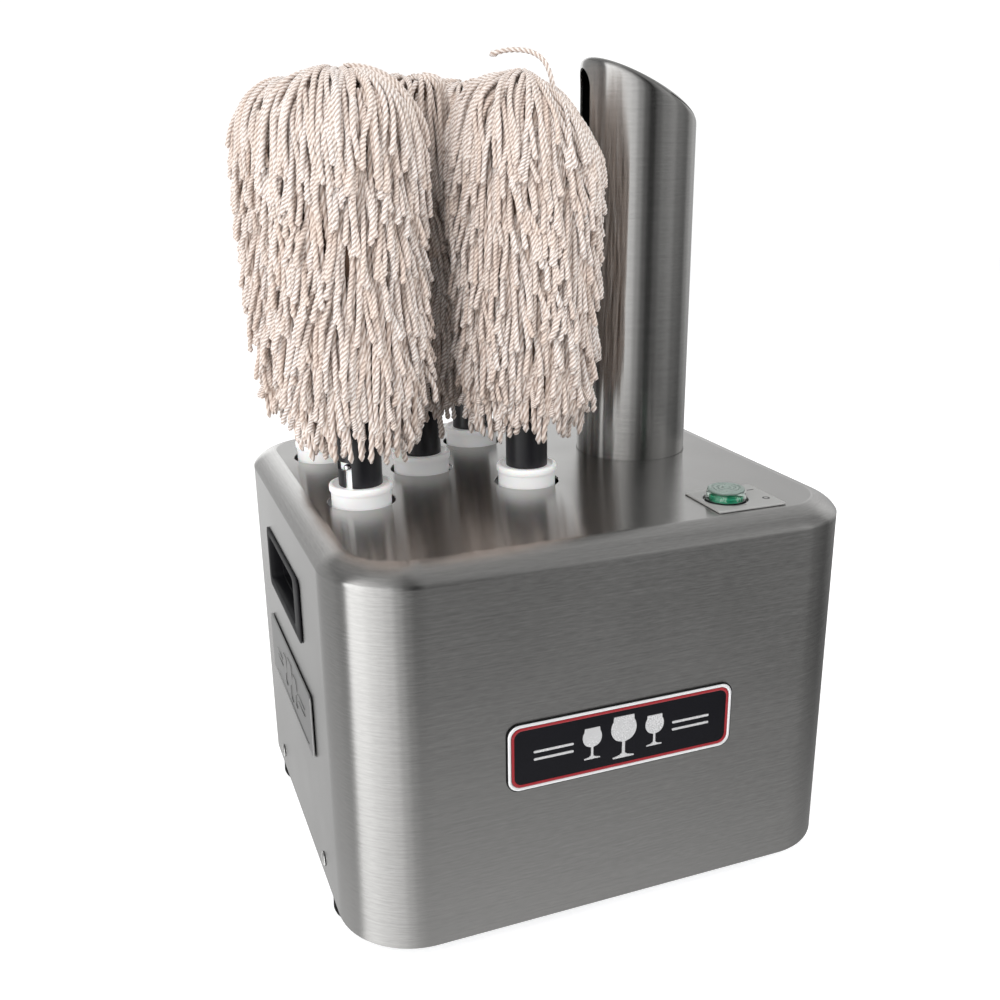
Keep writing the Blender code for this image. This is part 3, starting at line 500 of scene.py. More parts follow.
def pocket_handles():
    """Moulded pocket handles: a lip round a deep tapering pocket, which lies behind the lip's middle."""
    rearward = 0.0055
    for side, (way, facing) in SIDES.items():
        node = "handle_" + side
        at, size, proud = on_wall(node, way)
        deep = size.x - proud
        # Less width and less height than the lip, corner radius, and height above the wall.
        outside = [(HANDLE_MARGIN, HANDLE_MARGIN, 0.002, -deep), (HANDLE_MARGIN, HANDLE_MARGIN, 0.002, GAP)]
        outside += [(0.0, 0.0, 0.005, GAP), (0.0, 0.0, 0.005, proud * 0.55)]
        outside += [(0.0005, 0.0005, 0.0048, proud * 0.88), (0.0014, 0.0014, 0.0044, proud)]
        pocket = [(0.0210, 0.0095, 0.0042, proud * 0.80), (0.0228, 0.0110, 0.0040, proud * 0.50)]
        pocket += [(0.0242, 0.0122, 0.0038, -0.0004), (0.0252, 0.0130, 0.0036, -0.0020)]
        pocket += [(0.0256, 0.0134, 0.0035, -0.0060), (0.0280, 0.0150, 0.0034, -0.0064)]
        pocket += [(0.0325, 0.0185, 0.0030, 0.0030 - deep), (0.0342, 0.0202, 0.0026, 0.0020 - deep)]
        rings = []
        for table, middle in ((outside, 0.0), (pocket, way * rearward)):
            sizes = [(size.y - less_w, size.z - less_h, corner, z) for less_w, less_h, corner, z in table]
            rings += plates(sizes, 8, (middle, 0.0), 0.0004)
        piece("pocket_" + node, skin(rings), PLASTIC, node, facing=facing, at=at)


def wine_glass(tall, x, y):
    """Outline of a stemmed glass that stands at y."""
    half = [(0.25, 0.0), (0.25, 0.03), (0.10, 0.06), (0.035, 0.11), (0.032, 0.38)]
    for k in range(13):
        a = radians(-82 + 10 * k)
        half.append((0.05 + 0.25 * cos(a), 0.70 + 0.30 * sin(a)))
    half.append((half[-1][0] * 0.96, 1.0))
    right = [(x + w * tall, y + h * tall) for w, h in half]
    left = [(x - w * tall, y + h * tall) for w, h in reversed(half)]
    return right + left


def add_emblem(bm, wide, tall, low, high):
    """A plain emblem of three stemmed glasses between two pairs of rules."""
    for x, size in ((0.0, 0.92), (-0.155, 0.68), (0.155, 0.68)):
        add_plate(bm, wine_glass(tall * size, wide * x, -tall * size / 2), low, high)
    half, thin = 0.095, tall * 0.024
    for side in (-1, 1):
        for y in (-0.08, 0.08):
            middle = (side * wide * (0.245 + half), y * tall)
            add_plate(bm, rounded(2 * half * wide, 2 * thin, thin * 0.98, 3, middle), low, high)


def side_plates():
    """Raised plates on the side walls, dark round their edge as painted shadow, with a bright face and a shallow
    relief.
    """
    for side, (_, facing) in SIDES.items():
        node = "side_plate_" + side
        low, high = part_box(node)
        wide, tall, face = high.y - low.y, high.z - low.z, (high.x - low.x) / 2
        place = {"facing": facing, "at": centre_of(node)}
        shape = wide, tall, 0.003, 6, 0.0004
        # The black backing, set just inside the face's outline, is a painted shadow in the gap round the plate.
        edge = [(0.0006, -face), (0.0004, 0.0002 - face), (0.0004, face - 0.0006), (0.0008, face - 0.0004)]
        piece("edge_" + node, skin(insets(edge, *shape)), PLASTIC, node, **place)
        skirt = max(face - 0.0011, -face * 0.5)
        section = [(0.0002, skirt), (0.0, skirt + 0.0001)]
        section += [(0.0, face - 0.0003), (0.0003, face), (0.0016, face)]
        piece("face_" + node, skin(insets(section, *shape)), PLATE_STEEL, **place)
        relief = bmesh.new()
        add_emblem(relief, wide * 0.80, tall * 0.70, face - 0.0001, face + 0.0005)
        rule = rounded(wide * 0.80, 0.0010, 0.00048, 3, (0.0, -tall * 0.42))
        add_plate(relief, rule, face - 0.0001, face + 0.0004)
        bevel(piece("relief_" + side, relief, PLATE_STEEL, **place), 0.00018)


def front_badge():
    """Bright rolled bezel, a red line inside it, and a glossy dark face with a raised emblem."""
    low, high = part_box("badge_frame")
    wide, tall, proud = high.x - low.x, high.z - low.z, high.y - low.y
    place = {"facing": FRONT, "at": ((low.x + high.x) / 2, high.y, (low.z + high.z) / 2)}
    shape = wide, tall, 0.0065, 10, 0.0003, 0.6
    rim, face = 0.0018, proud * 0.62
    section = [(rim, 0.0), (0.0, 0.0), (0.0, proud * 0.45), (0.0002, proud * 0.75), (0.0005, proud * 0.96)]
    section += [(0.0009, proud), (0.0012, proud * 0.97), (0.0015, proud * 0.80), (rim * 0.97, proud * 0.55)]
    piece("badge_bezel", skin(insets(section, *shape), True), CHROME, "badge_frame", sharp=50, **place)
    # A thin black band, just wider than the bezel and low on the cover: a painted shadow line round the badge.
    section = [(-0.0005, 0.0001), (-0.0005, 0.0005), (-0.0003, 0.0006), (0.0004, 0.0006), (0.0004, 0.0001)]
    piece("badge_painted_shadow", skin(insets(section, *shape), True), RUBBER, **place)
    section = [(rim + 0.0001, face - 0.0002), (rim + 0.0001, face + 0.0001), (rim + 0.0003, face + 0.0002)]
    section += [(rim + 0.0014, face + 0.0002), (rim + 0.0016, face + 0.0001), (rim + 0.0016, face - 0.0002)]
    piece("badge_line", skin(insets(section, *shape), True), ENAMEL, **place)
    section = [(rim, 0.0003), (rim, face - 0.0002), (rim + 0.0002, face), (rim + 0.0020, face)]
    piece("badge_plate", skin(insets(section, *shape)), GLOSS, "badge_face", **place)
    emblem = bmesh.new()
    add_emblem(emblem, wide - 0.0128, tall - 0.0112, face - 0.0001, proud * 0.97)
    bevel(piece("badge_emblem", emblem, SILVER, **place), 0.00012)


def side_screws():
    """Pan-head screws with a cross recess, each on a thin black ring that shows round its head as painted shade.
    """
    shank, sides, dome = 0.0018, 40, 8
    for side, (way, facing) in SIDES.items():
        spin = facing @ Matrix.Rotation(radians(22 + 31 * way), 3, "Z")
        for end in ("front", "rear"):
            node = f"side_screw_{end}_{side}"
            at, size, proud = on_wall(node, way)
            head = size.z / 2
            profile = [(shank, -0.009), (shank, GAP), (head, GAP), (head, proud * 0.35)]
            for k in range(1, dome):
                a = k / dome * pi / 2
                profile.append((head * cos(a * 0.98), proud * (0.35 + 0.65 * sin(a))))
            made = piece("pan_" + node, turned(profile, sides), SCREW_STEEL, node, facing=facing, at=at)
            cross = []
            for wide, tall in ((0.0042, 0.0008), (0.0008, 0.0042)):
                rings = []
                for share, z in ((0.6, 0.2), (1.05, 1.3)):
                    bar = [(x * share, y * share) for x, y in rounded(wide, tall, 0.0001, 2)]
                    rings.append(level(bar, proud * z))
                cross.append(moved(skin(rings), spin, at))
            carve(made, *cross)
            # The black ring peeps out just past the head: painted shade round each screw.
            ring = [(head - 0.0005, 0.0002), (head + 0.0003, 0.0002)]
            ring += [(head + 0.0002, 0.0004), (head - 0.0005, 0.0005)]
            piece("shade_ring_" + node, turned(ring, sides, loop=True), RUBBER, facing=facing, at=at)


def rubber_feet():
    """Turned rubber feet, each with its stud up through the tray."""
    tray, stud_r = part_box("base_tray")[0].z - GAP, 0.0036
    for node in [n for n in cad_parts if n.startswith("foot_")]:
        low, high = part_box(node)
        wide = (high.x - low.x) / 2
        outer = [(0.0045, 0.0012), (0.0050, 0.0), (wide - 0.0004, 0.0), (wide + 0.0008, 0.003)]
        outer += [(wide + 0.0004, tray), (stud_r, tray), (stud_r, high.z - 0.0005), (stud_r - 0.0006, high.z)]
        piece("rubber_" + node, turned(soften(outer, 0.0008, 4), 64, axis_of(node)), RUBBER, node)


# ---------------------------------------------------------------- switch
def switch_label():
    """Satin label plate with a hole for the switch, and its printed bar, ring and rules."""
    low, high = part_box("switch_plate")
    wide, deep = high.x - low.x, high.y - low.y
    x, y = (low.x + high.x) / 2, (low.y + high.y) / 2
    edge, hole_r = 0.0004, 0.0127
    table = [(wide, deep, 0.001, low.z), (wide, deep, 0.001, high.z - edge)]
    table.append((wide - 2 * edge, deep - 2 * edge, 0.0009, high.z))
    label = piece("label_plate", skin(plates(table, 4, (x, y))), LABEL, "switch_plate")
    carve(label, turned([(hole_r, low.z - 0.002), (hole_r, high.z + 0.002)], 72, axis_of("switch_boot")))
    marks, z, tall = bmesh.new(), high.z - 0.00005, 0.00012
    add_plate(marks, rounded(0.0042, 0.0009, 0.0002, 3, (x + 0.0155, y + 0.0085)), z, z + tall)
    ring = [(0.0021, z), (0.0021, z + tall), (0.0013, z + tall), (0.0013, z)]
    add_turned(marks, ring, 40, (x + 0.0155, y - 0.0075), loop=True)
    for way in (1, -1):
        rule = rounded(0.0090, 0.00035, 0.0001, 2, (x - 0.0055, y + way * (deep * 0.30 + 0.002)))
        add_plate(marks, rule, z, z + tall)
    piece("label_marks", marks, INK)


def groove(r, z, deep, half, floor_half):
    """Section of a ring-shaped groove from its outer edge in, or of a ridge where it is less than 0 deep."""
    return [(r + half, z), (r + floor_half, z - deep), (r - floor_half, z - deep), (r - half, z)]


def splash_boot():
    """Clear splash boot with stepped rings, its milky cap, and the dark well that it stands in."""
    low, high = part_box("switch_boot")
    spot = axis_of("switch_boot")
    radius, foot, crown, thick = (high.x - low.x) / 2, low.z, high.z - 0.0010, 0.0007
    outer = [(radius, foot), (radius, foot + 0.0006), (radius - 0.0005, foot + 0.0012)]
    outer += [(radius - 0.0007, crown - 0.0016), (radius - 0.0010, crown - 0.0008)]
    outer += [(radius - 0.0018, crown - 0.0003), (radius - 0.0026, crown - 0.0001)]
    outer = soften(outer, 0.0006, 3)
    for k in range(3):
        outer += groove(radius - 0.0034 - 0.0024 * k, crown - 0.0001, 0.0004, 0.0005, 0.0003)
    wall = radius - 0.0007 - thick
    inner = [(radius - thick, foot), (wall, foot + 0.0012), (wall, crown - 0.0024)]
    inner += [(radius - 0.0030, crown - thick - 0.0004), (0.0006, crown - thick - 0.0004)]
    boot = turned([(0.0006, crown), *outer[::-1], *inner], 72, spot)
    piece("splash_boot", boot, CLEAR, "switch_boot", sharp=60)
    base = crown + 0.0004
    cap = [(0.0101, crown - 0.0012), (0.0102, base - 0.0004), (0.0097, base)]
    for k in (2, 1, 0):
        cap += groove(0.0022 + 0.0027 * k, base, 0.0004, 0.0006, 0.0004)
    piece("boot_cap", turned([*cap, (0.0004, crown + 0.0002)], 72, spot), MILKY, sharp=60)
    low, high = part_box("switch_plate")
    rim = high.z + 0.0004
    well = [(SWITCH_HOLE_R, low.z), (0.0112, low.z), (0.0112, rim), (SWITCH_HOLE_R, rim)]
    piece("switch_well", turned(well, 64, spot, loop=True), PLASTIC)


def switch_rocker():
    """Lit green rocker with three ridges on it and two pivot pins, tilted as it rests."""
    r, top, pivot_rise, tilt = 0.0092, 0.0047, 0.0005, 6
    body = [(0.0058, -0.0040), (0.0066, -0.0030), (0.0072, 0.0002), (r, 0.0012), (r, 0.0038)]
    body += [(r - 0.0005, 0.0045), (r - 0.0012, top)]
    for ridge_r in (0.0064, 0.0044, 0.0024):
        body += groove(ridge_r, top, -0.0003, 0.0004, 0.0002)
    rocker = turned([*body, (0.0004, top)], 56)
    for way in (-1, 1):
        pin = turned([(0.0009, 0.0), (0.0009, 0.0016), (0.0006, 0.0018)], 16)
        moved(pin, Matrix.Rotation(way * pi / 2, 3, "Y"), (way * 0.0062, 0.0, 0.0), rocker)
    at = (*axis_of("switch_rocker"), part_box("housing_cover")[1].z + pivot_rise)
    facing = Matrix.Rotation(radians(tilt), 3, "X")
    piece("green_rocker", rocker, GREEN, "switch_rocker", body="rocker", facing=facing, at=at, sharp=28)


# ---------------------------------------------------------------- duct
def duct_radius():
    """Half the duct's width above its flange."""
    low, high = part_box("hot_air_duct")
    return (high.x - low.x) / 2 - FLANGE


def hot_air_duct():
    """Round brushed duct with a slanted welded lid and a round-ended outlet."""
    low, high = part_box("hot_air_duct")
    x, y = axis_of("hot_air_duct")
    radius, sides, edge, edge_steps = duct_radius(), 128, 0.0048, 7
    middle = high.z - LID_RISE * (radius - 0.0025) / radius

    def slanted(r, drop):
        return [(px, py, middle - drop - LID_RISE * (px - x) / radius) for px, py in circle(r, sides, (x, y))]

    def flat(r, z):
        return level(circle(r, sides, (x, y)), low.z + z)

    rings = [flat(radius, 0.0), flat(radius, 0.0072), flat(radius + FLANGE, 0.0072)]
    rings += [flat(radius + FLANGE, 0.0085), flat(radius, 0.0085)]
    rings += [slanted(radius, edge + 0.0040), slanted(radius, edge + 0.0006)]
    for k in range(1, edge_steps + 1):
        a = k / edge_steps * pi / 2
        rings.append(slanted(radius - edge * (1 - cos(a)), edge * (1 - sin(a))))
    for share in (0.96, 0.85, 0.70, 0.50, 0.25):
        rings.append(slanted((radius - edge) * share, -LID_CROWN * (1 - share * share)))
    inner = radius - SKIN
    inside = [flat(inner, 0.0), slanted(inner, 0.0040), slanted(inner - 0.0010, 0.0024)]
    made = piece("air_duct", skin(rings[::-1] + inside), DUCT_STEEL, "hot_air_duct", sharp=50)
    half = radius * sin(radians(OUTLET_HALF))
    outlet = plate(rounded(2 * half, OUTLET_TALL, half * 0.985, 12), 0.028, 0.045)
    carve(made, moved(outlet, heading(OUTLET_TURN) @ RIGHT, (x, y, OUTLET_Z)))
    made.data.materials.append(DUCT_INSIDE_PAINTED_SHADE)
    grain = made.data.uv_layers["grain"].data
    for face in made.data.polygons:
        if abs(face.normal.z) < 0.6:
            for corner, vertex in zip(face.loop_indices, face.vertices):
                grain[corner].uv[0] = made.data.vertices[vertex].co.z
        # Faces inside the wall take the near-black painted shade.
        spot = face.center
        if sqrt((spot.x - x) ** 2 + (spot.y - y) ** 2) < radius - SKIN * 0.6 and face.normal.z < 0.5:
            face.material_index = 1


# ---------------------------------------------------------------- spindles and brushes
def spindle(name):
    """White collar with its rim, dish and stem, and the shaft that carries the locking pin."""
    node, body = "collar_" + name, "spindle_" + name
    spot = axis_of(node)
    low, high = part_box(node)
    rim_r, bore, top = (high.x - low.x) / 2, 0.0064, high.z - STEM_RISE
    body_r = rim_r - 0.0009
    rim = [(body_r, -0.0050), (body_r + 0.0003, -0.0044), (rim_r, -0.0034), (rim_r, -0.0010)]
    rim += [(rim_r - 0.0003, -0.0003), (rim_r - 0.0010, 0.0), (rim_r - 0.0020, 0.0)]
    rim += [(rim_r - 0.0028, -0.0007), (rim_r - 0.0036, -0.0010)]
    rim += [(STEM_R + 0.0006, -0.0010), (STEM_R, -0.0004)]
    profile = [(bore, low.z), (body_r - 0.0004, low.z), (body_r, low.z + 0.0006)]
    profile += [(r, top + z) for r, z in rim]
    profile += [(STEM_R, high.z - 0.0006), (STEM_R - 0.0006, high.z), (bore, high.z)]
    collar = piece("white_" + node, turned(profile, 96, spot, True), ACETAL_PAINTED_GLOW, node, body=body, sharp=40)
    turn, at = heading(PIN_ANGLES[name]) @ LYING, (*spot, top + PIN_RISE)
    carve(collar, moved(turned([(PIN_R + 0.0004, 0.004), (PIN_R + 0.0004, 0.016)], 24), turn, at))
    node = "spindle_shaft_" + name
    low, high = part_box(node)
    profile = [(0.0052, low.z), (0.0060, low.z + 0.0008), (0.0060, high.z - 0.0008), (0.0052, high.z)]
    shaft = turned(profile, 48, spot)
    pin = [(PIN_R, 0.003), (PIN_R, PIN_REACH - 0.0007)]
    pin += [(PIN_R * 0.86, PIN_REACH - 0.0003), (PIN_R * 0.55, PIN_REACH)]
    moved(turned(pin, 24), turn, at, shaft)
    piece("turned_" + node, shaft, BRIGHT, node, body=body)


def sector(inner, outer, start, end, steps=24):
    angles = [radians(start + (end - start) * k / steps) for k in range(steps + 1)]
    near = [(inner * cos(a), inner * sin(a)) for a in angles]
    far = [(outer * cos(a), outer * sin(a)) for a in reversed(angles)]
    return near + far


def brush_tube(name):
    """Satin black tube with a bayonet slot whose corner is round."""
    node = "brush_tube_" + name
    x, y = axis_of(node)
    low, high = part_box(node)
    radius, edge = (high.x - low.x) / 2, 0.0002
    inner = radius - TUBE_WALL
    foot = [(inner, low.z + edge), (inner + edge, low.z), (radius - edge, low.z), (radius, low.z + edge)]
    profile = foot + [(r, low.z + high.z - z) for r, z in reversed(foot)]
    tube = piece("black_" + node, turned(profile, 96, (x, y), True), ANODISED, node, body="brush_" + name)
    angle, half, reach = PIN_ANGLES[name], SLOT_W / 2, (0.006, 0.018)
    pin_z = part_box("collar_" + name)[1].z - STEM_RISE + PIN_RISE
    leg = [(-half, low.z - 0.004), (half, low.z - 0.004)]
    leg += [(half * cos(a), pin_z + half * sin(a)) for a in (k / 10 * pi for k in range(11))]
    arm = plate(sector(*reach, angle - SLOT_TURN, angle - 1), pin_z - half, pin_z + half)
    end = turned([(half, r) for r in reach], 32)
    carve(
        tube,
        moved(plate(leg, *reach), heading(angle) @ RIGHT, (x, y, 0.0)),
        moved(arm, Matrix.Identity(3), (x, y, 0.0)),
        moved(end, heading(angle - SLOT_TURN) @ LYING, (x, y, pin_z)),
    )


class Outline:
    """The mop's shape as radius and height along an arc length that starts at its crown."""

    def __init__(self, points, soften_over=0.014, step=0.0005, pad=0.06):
        points = np.array(points)
        length = np.concatenate([[0], np.cumsum(np.hypot(*np.diff(points, axis=0).T))])
        self.total = length[-1]
        self.at = np.arange(-pad, self.total + pad, step)
        first, last = points[1] - points[0], points[-1] - points[-2]
        first, last = first / np.hypot(*first), last / np.hypot(*last)
        raw = np.stack([np.interp(self.at, length, points[:, k]) for k in (0, 1)], 1)
        before, after = self.at < 0, self.at > self.total
        raw[before] = points[0] + self.at[before, None] * first
        raw[after] = points[-1] + (self.at[after, None] - self.total) * last
        width = int(soften_over / step)
        box = np.ones(width) / width
        padded = np.pad(raw, ((width, width), (0, 0)), mode="edge")
        self.points = np.stack([np.convolve(padded[:, k], box, "same")[width:-width] for k in (0, 1)], 1)

    def place(self, a):
        return [np.interp(a, self.at, self.points[:, k]) for k in (0, 1)]

    def outward(self, a):
        """Unit direction out of the shape, as its radial and its upright part."""
        r0, z0 = self.place(a - 0.001)
        r1, z1 = self.place(a + 0.001)
        dr, dz = r1 - r0, z1 - z0
        size = np.maximum(np.hypot(dr, dz), 1e-9)
        return -dz / size, dr / size


def smooth(t):
    t = np.clip(t, 0, 1)
    return t * t * (3 - 2 * t)


def wrapped(spot, r, z, around):
    """Points at a radius, a height and an angle about an upright line."""
    return np.stack([spot[0] + r * np.cos(around), spot[1] + r * np.sin(around), z + 0 * around], -1)


def add_values(mesh, shape, **values):
    """Lays the values that the cotton reads on a mesh's points."""
    for key, value in values.items():
        attribute = mesh.attributes.new(key, "FLOAT", "POINT")
        attribute.data.foreach_set("value", np.broadcast_to(value, shape).astype(np.float32).ravel())


def cord_mesh(name, paths, outward, tint, rng):
    """Twisted three-ply cords with round ends along paths of evenly spaced points, all in one mesh."""
    cords, rings = paths.shape[:2]
    along = np.gradient(paths, axis=1)
    along /= np.linalg.norm(along, axis=2, keepdims=True)
    outward = outward - along * np.sum(outward * along, axis=2, keepdims=True)
    outward /= np.maximum(np.linalg.norm(outward, axis=2, keepdims=True), 1e-9)
    across = np.cross(along, outward)
    step, sides = np.arange(rings), np.arange(CORD_SIDES)
    phase = rng.integers(0, CORD_SIDES, cords)
    on_ply = (sides[None, None, :] - step[None, :, None] - phase[:, None, None]) % 2 == 0
    radius = CORD_R * np.where(on_ply, 1.17, 0.83) * rng.uniform(0.93, 1.07, cords)[:, None, None]
    spacing = np.linalg.norm(np.diff(paths, axis=1), axis=2).mean(axis=1)
    left = (rings - 1 - step)[None, :] * spacing[:, None]  # length still to come before the free end
    bulb = np.where(left < BULB_LENGTH, BULB_SWELL, 1.0)
    rounding = np.sqrt(np.clip(1 - (np.clip(END_ROUND - left, 0, END_ROUND) / END_ROUND) ** 2 * 0.90, 0, 1))
    radius = radius * (bulb * rounding)[:, :, None]
    angle = 2 * pi * sides / CORD_SIDES
    spread = outward[:, :, None, :] * np.cos(angle)[None, None, :, None]
    spread = spread + across[:, :, None, :] * np.sin(angle)[None, None, :, None]
    verts = paths[:, :, None, :] + spread * radius[..., None]
    index = np.arange(cords * rings * CORD_SIDES).reshape(cords, rings, CORD_SIDES)
    lower, upper = index[:, :-1, :], index[:, 1:, :]
    quads = np.stack([lower, np.roll(lower, -1, axis=2), np.roll(upper, -1, axis=2), upper], -1)
    quads = quads.reshape(-1, 4)
    tris = np.concatenate([quads[:, [0, 1, 2]], quads[:, [0, 2, 3]]])
    ends = np.concatenate([index[:, 0, ::-1], index[:, -1, :]])
    corners = np.concatenate([tris.ravel(), ends.ravel()]).astype(np.int32)
    starts = np.concatenate([np.arange(len(tris)) * 3, len(tris) * 3 + np.arange(len(ends)) * CORD_SIDES])
    mesh = bpy.data.meshes.new(name)
    mesh.vertices.add(index.size)
    mesh.vertices.foreach_set("co", verts.astype(np.float32).ravel())
    mesh.loops.add(len(corners))
    mesh.loops.foreach_set("vertex_index", corners)
    mesh.polygons.add(len(starts))
    mesh.polygons.foreach_set("loop_start", starts.astype(np.int32))
    mesh.update(calc_edges=True)
    mesh.shade_smooth()
    add_values(mesh, index.shape, ply=np.where(on_ply, 1.0, 0.0), tint=tint[:, None, None])
    return mesh


def mop(name, widest, cords, parts, rng):
    """Layers of cords that grow out of a lumpy core and hang over one another from the crown down."""
    spot = axis_of("mop_" + name)
    low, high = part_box("mop_" + name)
    foot, tall = low.z, high.z - low.z
    shape = [(0.003, 0.978), (0.012, 0.977), (0.024, 0.960), (0.0335, 0.922), (0.0385, 0.875), (0.0402, 0.82)]
    shape += [(0.0410, 0.72), (0.0414, 0.60), (0.0404, 0.45), (0.0394, 0.30), (0.0388, 0.18), (0.0378, 0.08)]
    shape += [(0.0360, 0.0)]  # radius, and share of the mop's height
    outline = Outline([(min(r, widest - 0.0036), foot + share * tall) for r, share in shape])
    # The roots lie as densely as the cords below them need, and go round the mop by the golden angle.
    grid = np.linspace(0.0, outline.total - 0.034, 400)
    weight = np.maximum(outline.place(grid + 0.030)[0], 0.018)
    share = np.cumsum(weight) / weight.sum()
    roots = np.interp((np.arange(cords) + rng.uniform(0.2, 0.8, cords)) / cords, share, grid)
    azimuths = np.arange(cords) * pi * (3 - sqrt(5)) + rng.normal(0, 0.05, cords)
    tints = np.clip(rng.normal(0.42, 0.28, cords), 0, 1)
    lump = rng.uniform(0, 2 * pi, 4)
    for k, group in enumerate(np.array_split(np.arange(cords), parts)):
        root, azimuth = roots[group, None], azimuths[group, None]
        count = (len(group), 1)
        # Length: longer from the crown, and cut off at a ragged hem.
        length = rng.uniform(0.036, 0.052, count) + 0.020 * (1 - smooth(root / 0.05))
        layer = rng.uniform(0, 1, count) ** 0.8
        hem = outline.total - 0.026 * (1 - layer) + rng.uniform(-0.004, 0.006, count)
        length = np.minimum(length, hem - root)
        rings = int(round(length.mean() / CORD_RING))
        t = np.linspace(0, 1, rings)[None, :]
        s = t * length
        # Sideways: each cord slants, in locks that lean together, and waves along its length.
        slant = radians(6) * rng.normal(0, 1, count)
        slant = slant + radians(5) * np.sin(2 * azimuth + 25 * root + lump[0])
        slant = slant + radians(4) * np.sin(5 * azimuth - 45 * root + lump[1])
        wave, begin = rng.uniform(0.030, 0.060, count), rng.uniform(0, 2 * pi, count)
        lean = slant + radians(8) * rng.uniform(0.3, 1.0, count) * np.sin(2 * pi * s / wave + begin)
        a = root + s * np.cos(slant)
        r, z = outline.place(a)
        out_r, out_z = outline.outward(a)
        # Depth under the outline: deep at the root, lifted at the free end, and drawn in at the hem.
        deep = (0.0022 + 0.0095 * smooth(root / 0.055)) * rng.uniform(0.7, 1.15, count)
        deep = np.minimum(deep, np.maximum(outline.place(root)[0] - 0.0165, 0.002))
        lift = np.clip(rng.normal(0.0013, 0.0016, count), -0.002, 0.0045)
        depth = deep * (1 - t) ** 1.6 - lift * smooth((t - 0.5) / 0.5) + 0.0005 * np.sin(7 * t + begin)
        depth = depth - 0.0010 * np.sin(3 * azimuth + 40 * a + lump[2])
        depth = depth - 0.0007 * np.sin(5 * azimuth - 62 * a + lump[3])
        drawn_in = 0.011 * layer * smooth((a - outline.total + 0.052) / 0.036)
        depth = depth + drawn_in * min(1.0, (widest - 0.016) / 0.029)
        r, z = r - out_r * depth, z - out_z * depth
        r = np.minimum(r, widest - CORD_R * 1.3)
        around = azimuth + np.cumsum(np.sin(lean) * length / (rings - 1) / np.maximum(r, 0.010), axis=1)
        paths, outward = wrapped(spot, r, z, around), wrapped((0, 0), out_r, out_z, around)
        mesh = slump(cord_mesh("cords", paths, outward, tints[group], rng), name)
        stands_for = ["mop_" + name] if k == 0 else []
        piece(f"mop_cords_{name}_{k}", mesh, COTTON, *stands_for, body="brush_" + name)
    under_cords(name, widest, outline, rng)
    mop_core(name, widest, outline, rng)


def slump(mesh, name):
    """Settles the outer shoulder of the one mop whose cords hang away from the duct."""
    if name != SLUMPED:
        return mesh
    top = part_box("mop_" + name)[1].z
    spots = np.empty(len(mesh.vertices) * 3, np.float32)
    mesh.vertices.foreach_get("co", spots)
    spots = spots.reshape(-1, 3)
    away = spots[:, :2] - axis_of("mop_" + name)
    turn = radians(SLUMP_TO)
    side = np.clip(away @ (cos(turn), sin(turn)) / np.maximum(np.hypot(*away.T), 1e-6), 0, 1)
    share = side * (1 - smooth((top - spots[:, 2]) / SLUMP_TALL))
    spots[:, :2] -= away * (SLUMP_IN * share)[:, None]
    spots[:, 2] -= SLUMP_DOWN * share * smooth(np.hypot(*away.T) / 0.02)
    mesh.vertices.foreach_set("co", spots.ravel())
    mesh.update()
    return mesh


def under_cords(name, widest, outline, rng):
    """A layer of long cords that fills the gaps between the outer ones."""
    cords, rings = int(2 * pi * (widest - 0.009) / (2 * CORD_R)), 72
    count = (cords, 1)
    t = np.linspace(0, 1, rings)[None, :]
    root = rng.uniform(0.018, 0.034, count)
    a = root + t * (outline.total - root - rng.uniform(0.002, 0.018, count))
    r, z = outline.place(a)
    out_r, out_z = outline.outward(a)
    begin = rng.uniform(0, 2 * pi, count)
    depth = 0.0048 + 0.0009 * np.sin(13 * t + begin) + 0.0006 * rng.normal(0, 1, count)
    around = (np.arange(cords)[:, None] + 0.5 * np.sin(9 * t + 3 * begin)) * 2 * pi / cords
    paths = wrapped(axis_of("mop_" + name), r - out_r * depth, z - out_z * depth, around)
    outward = wrapped((0, 0), out_r, out_z, around)
    mesh = slump(cord_mesh("under", paths, outward, rng.uniform(0.3, 1.0, cords), rng), name)
    piece("mop_under_cords_" + name, mesh, COTTON, body="brush_" + name)


def stray_cord(name, rng):
    """One cord that has sprung loose and arches over a mop's crown."""
    x, y = axis_of("mop_" + name)
    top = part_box("mop_" + name)[1].z
    # Each point is across the view, towards it, and above the crown.
    arch = [(0.0160, 0.0110, -0.0200), (0.0140, 0.0100, -0.0080), (0.0105, 0.0080, 0.0)]
    arch += [(0.0040, 0.0040, 0.0045), (-0.0040, 0.0, 0.0058), (-0.0120, -0.0030, 0.0055)]
    arch += [(-0.0195, -0.0050, 0.0030)]
    rings, fine_steps, edge, width = 34, 300, 30, 50
    at = np.linspace(0, len(arch) - 1, fine_steps)
    fine = np.array([np.interp(at, np.arange(len(arch)), c) for c in zip(*arch)])
    fine = np.pad(fine, ((0, 0), (edge, edge)), mode="edge")
    fine = np.array([np.convolve(c, np.ones(width) / width, "same")[edge:-edge] for c in fine])
    gone = np.concatenate([[0], np.cumsum(np.linalg.norm(np.diff(fine, axis=1), axis=0))])
    across, near, up = [np.interp(np.linspace(0, gone[-1], rings), gone, c) for c in fine]
    turn = radians(VIEW_TURN)
    path = [x + across * cos(turn) + near * sin(turn), y + across * sin(turn) - near * cos(turn), top + up]
    path = np.stack(path, -1)[None]
    outward = np.broadcast_to(np.array([0.0, 0.0, 1.0]), path.shape)
    mesh = cord_mesh("stray", path, outward, np.array([0.2]), rng)
    piece("mop_stray_cord", mesh, COTTON, body="brush_" + name)


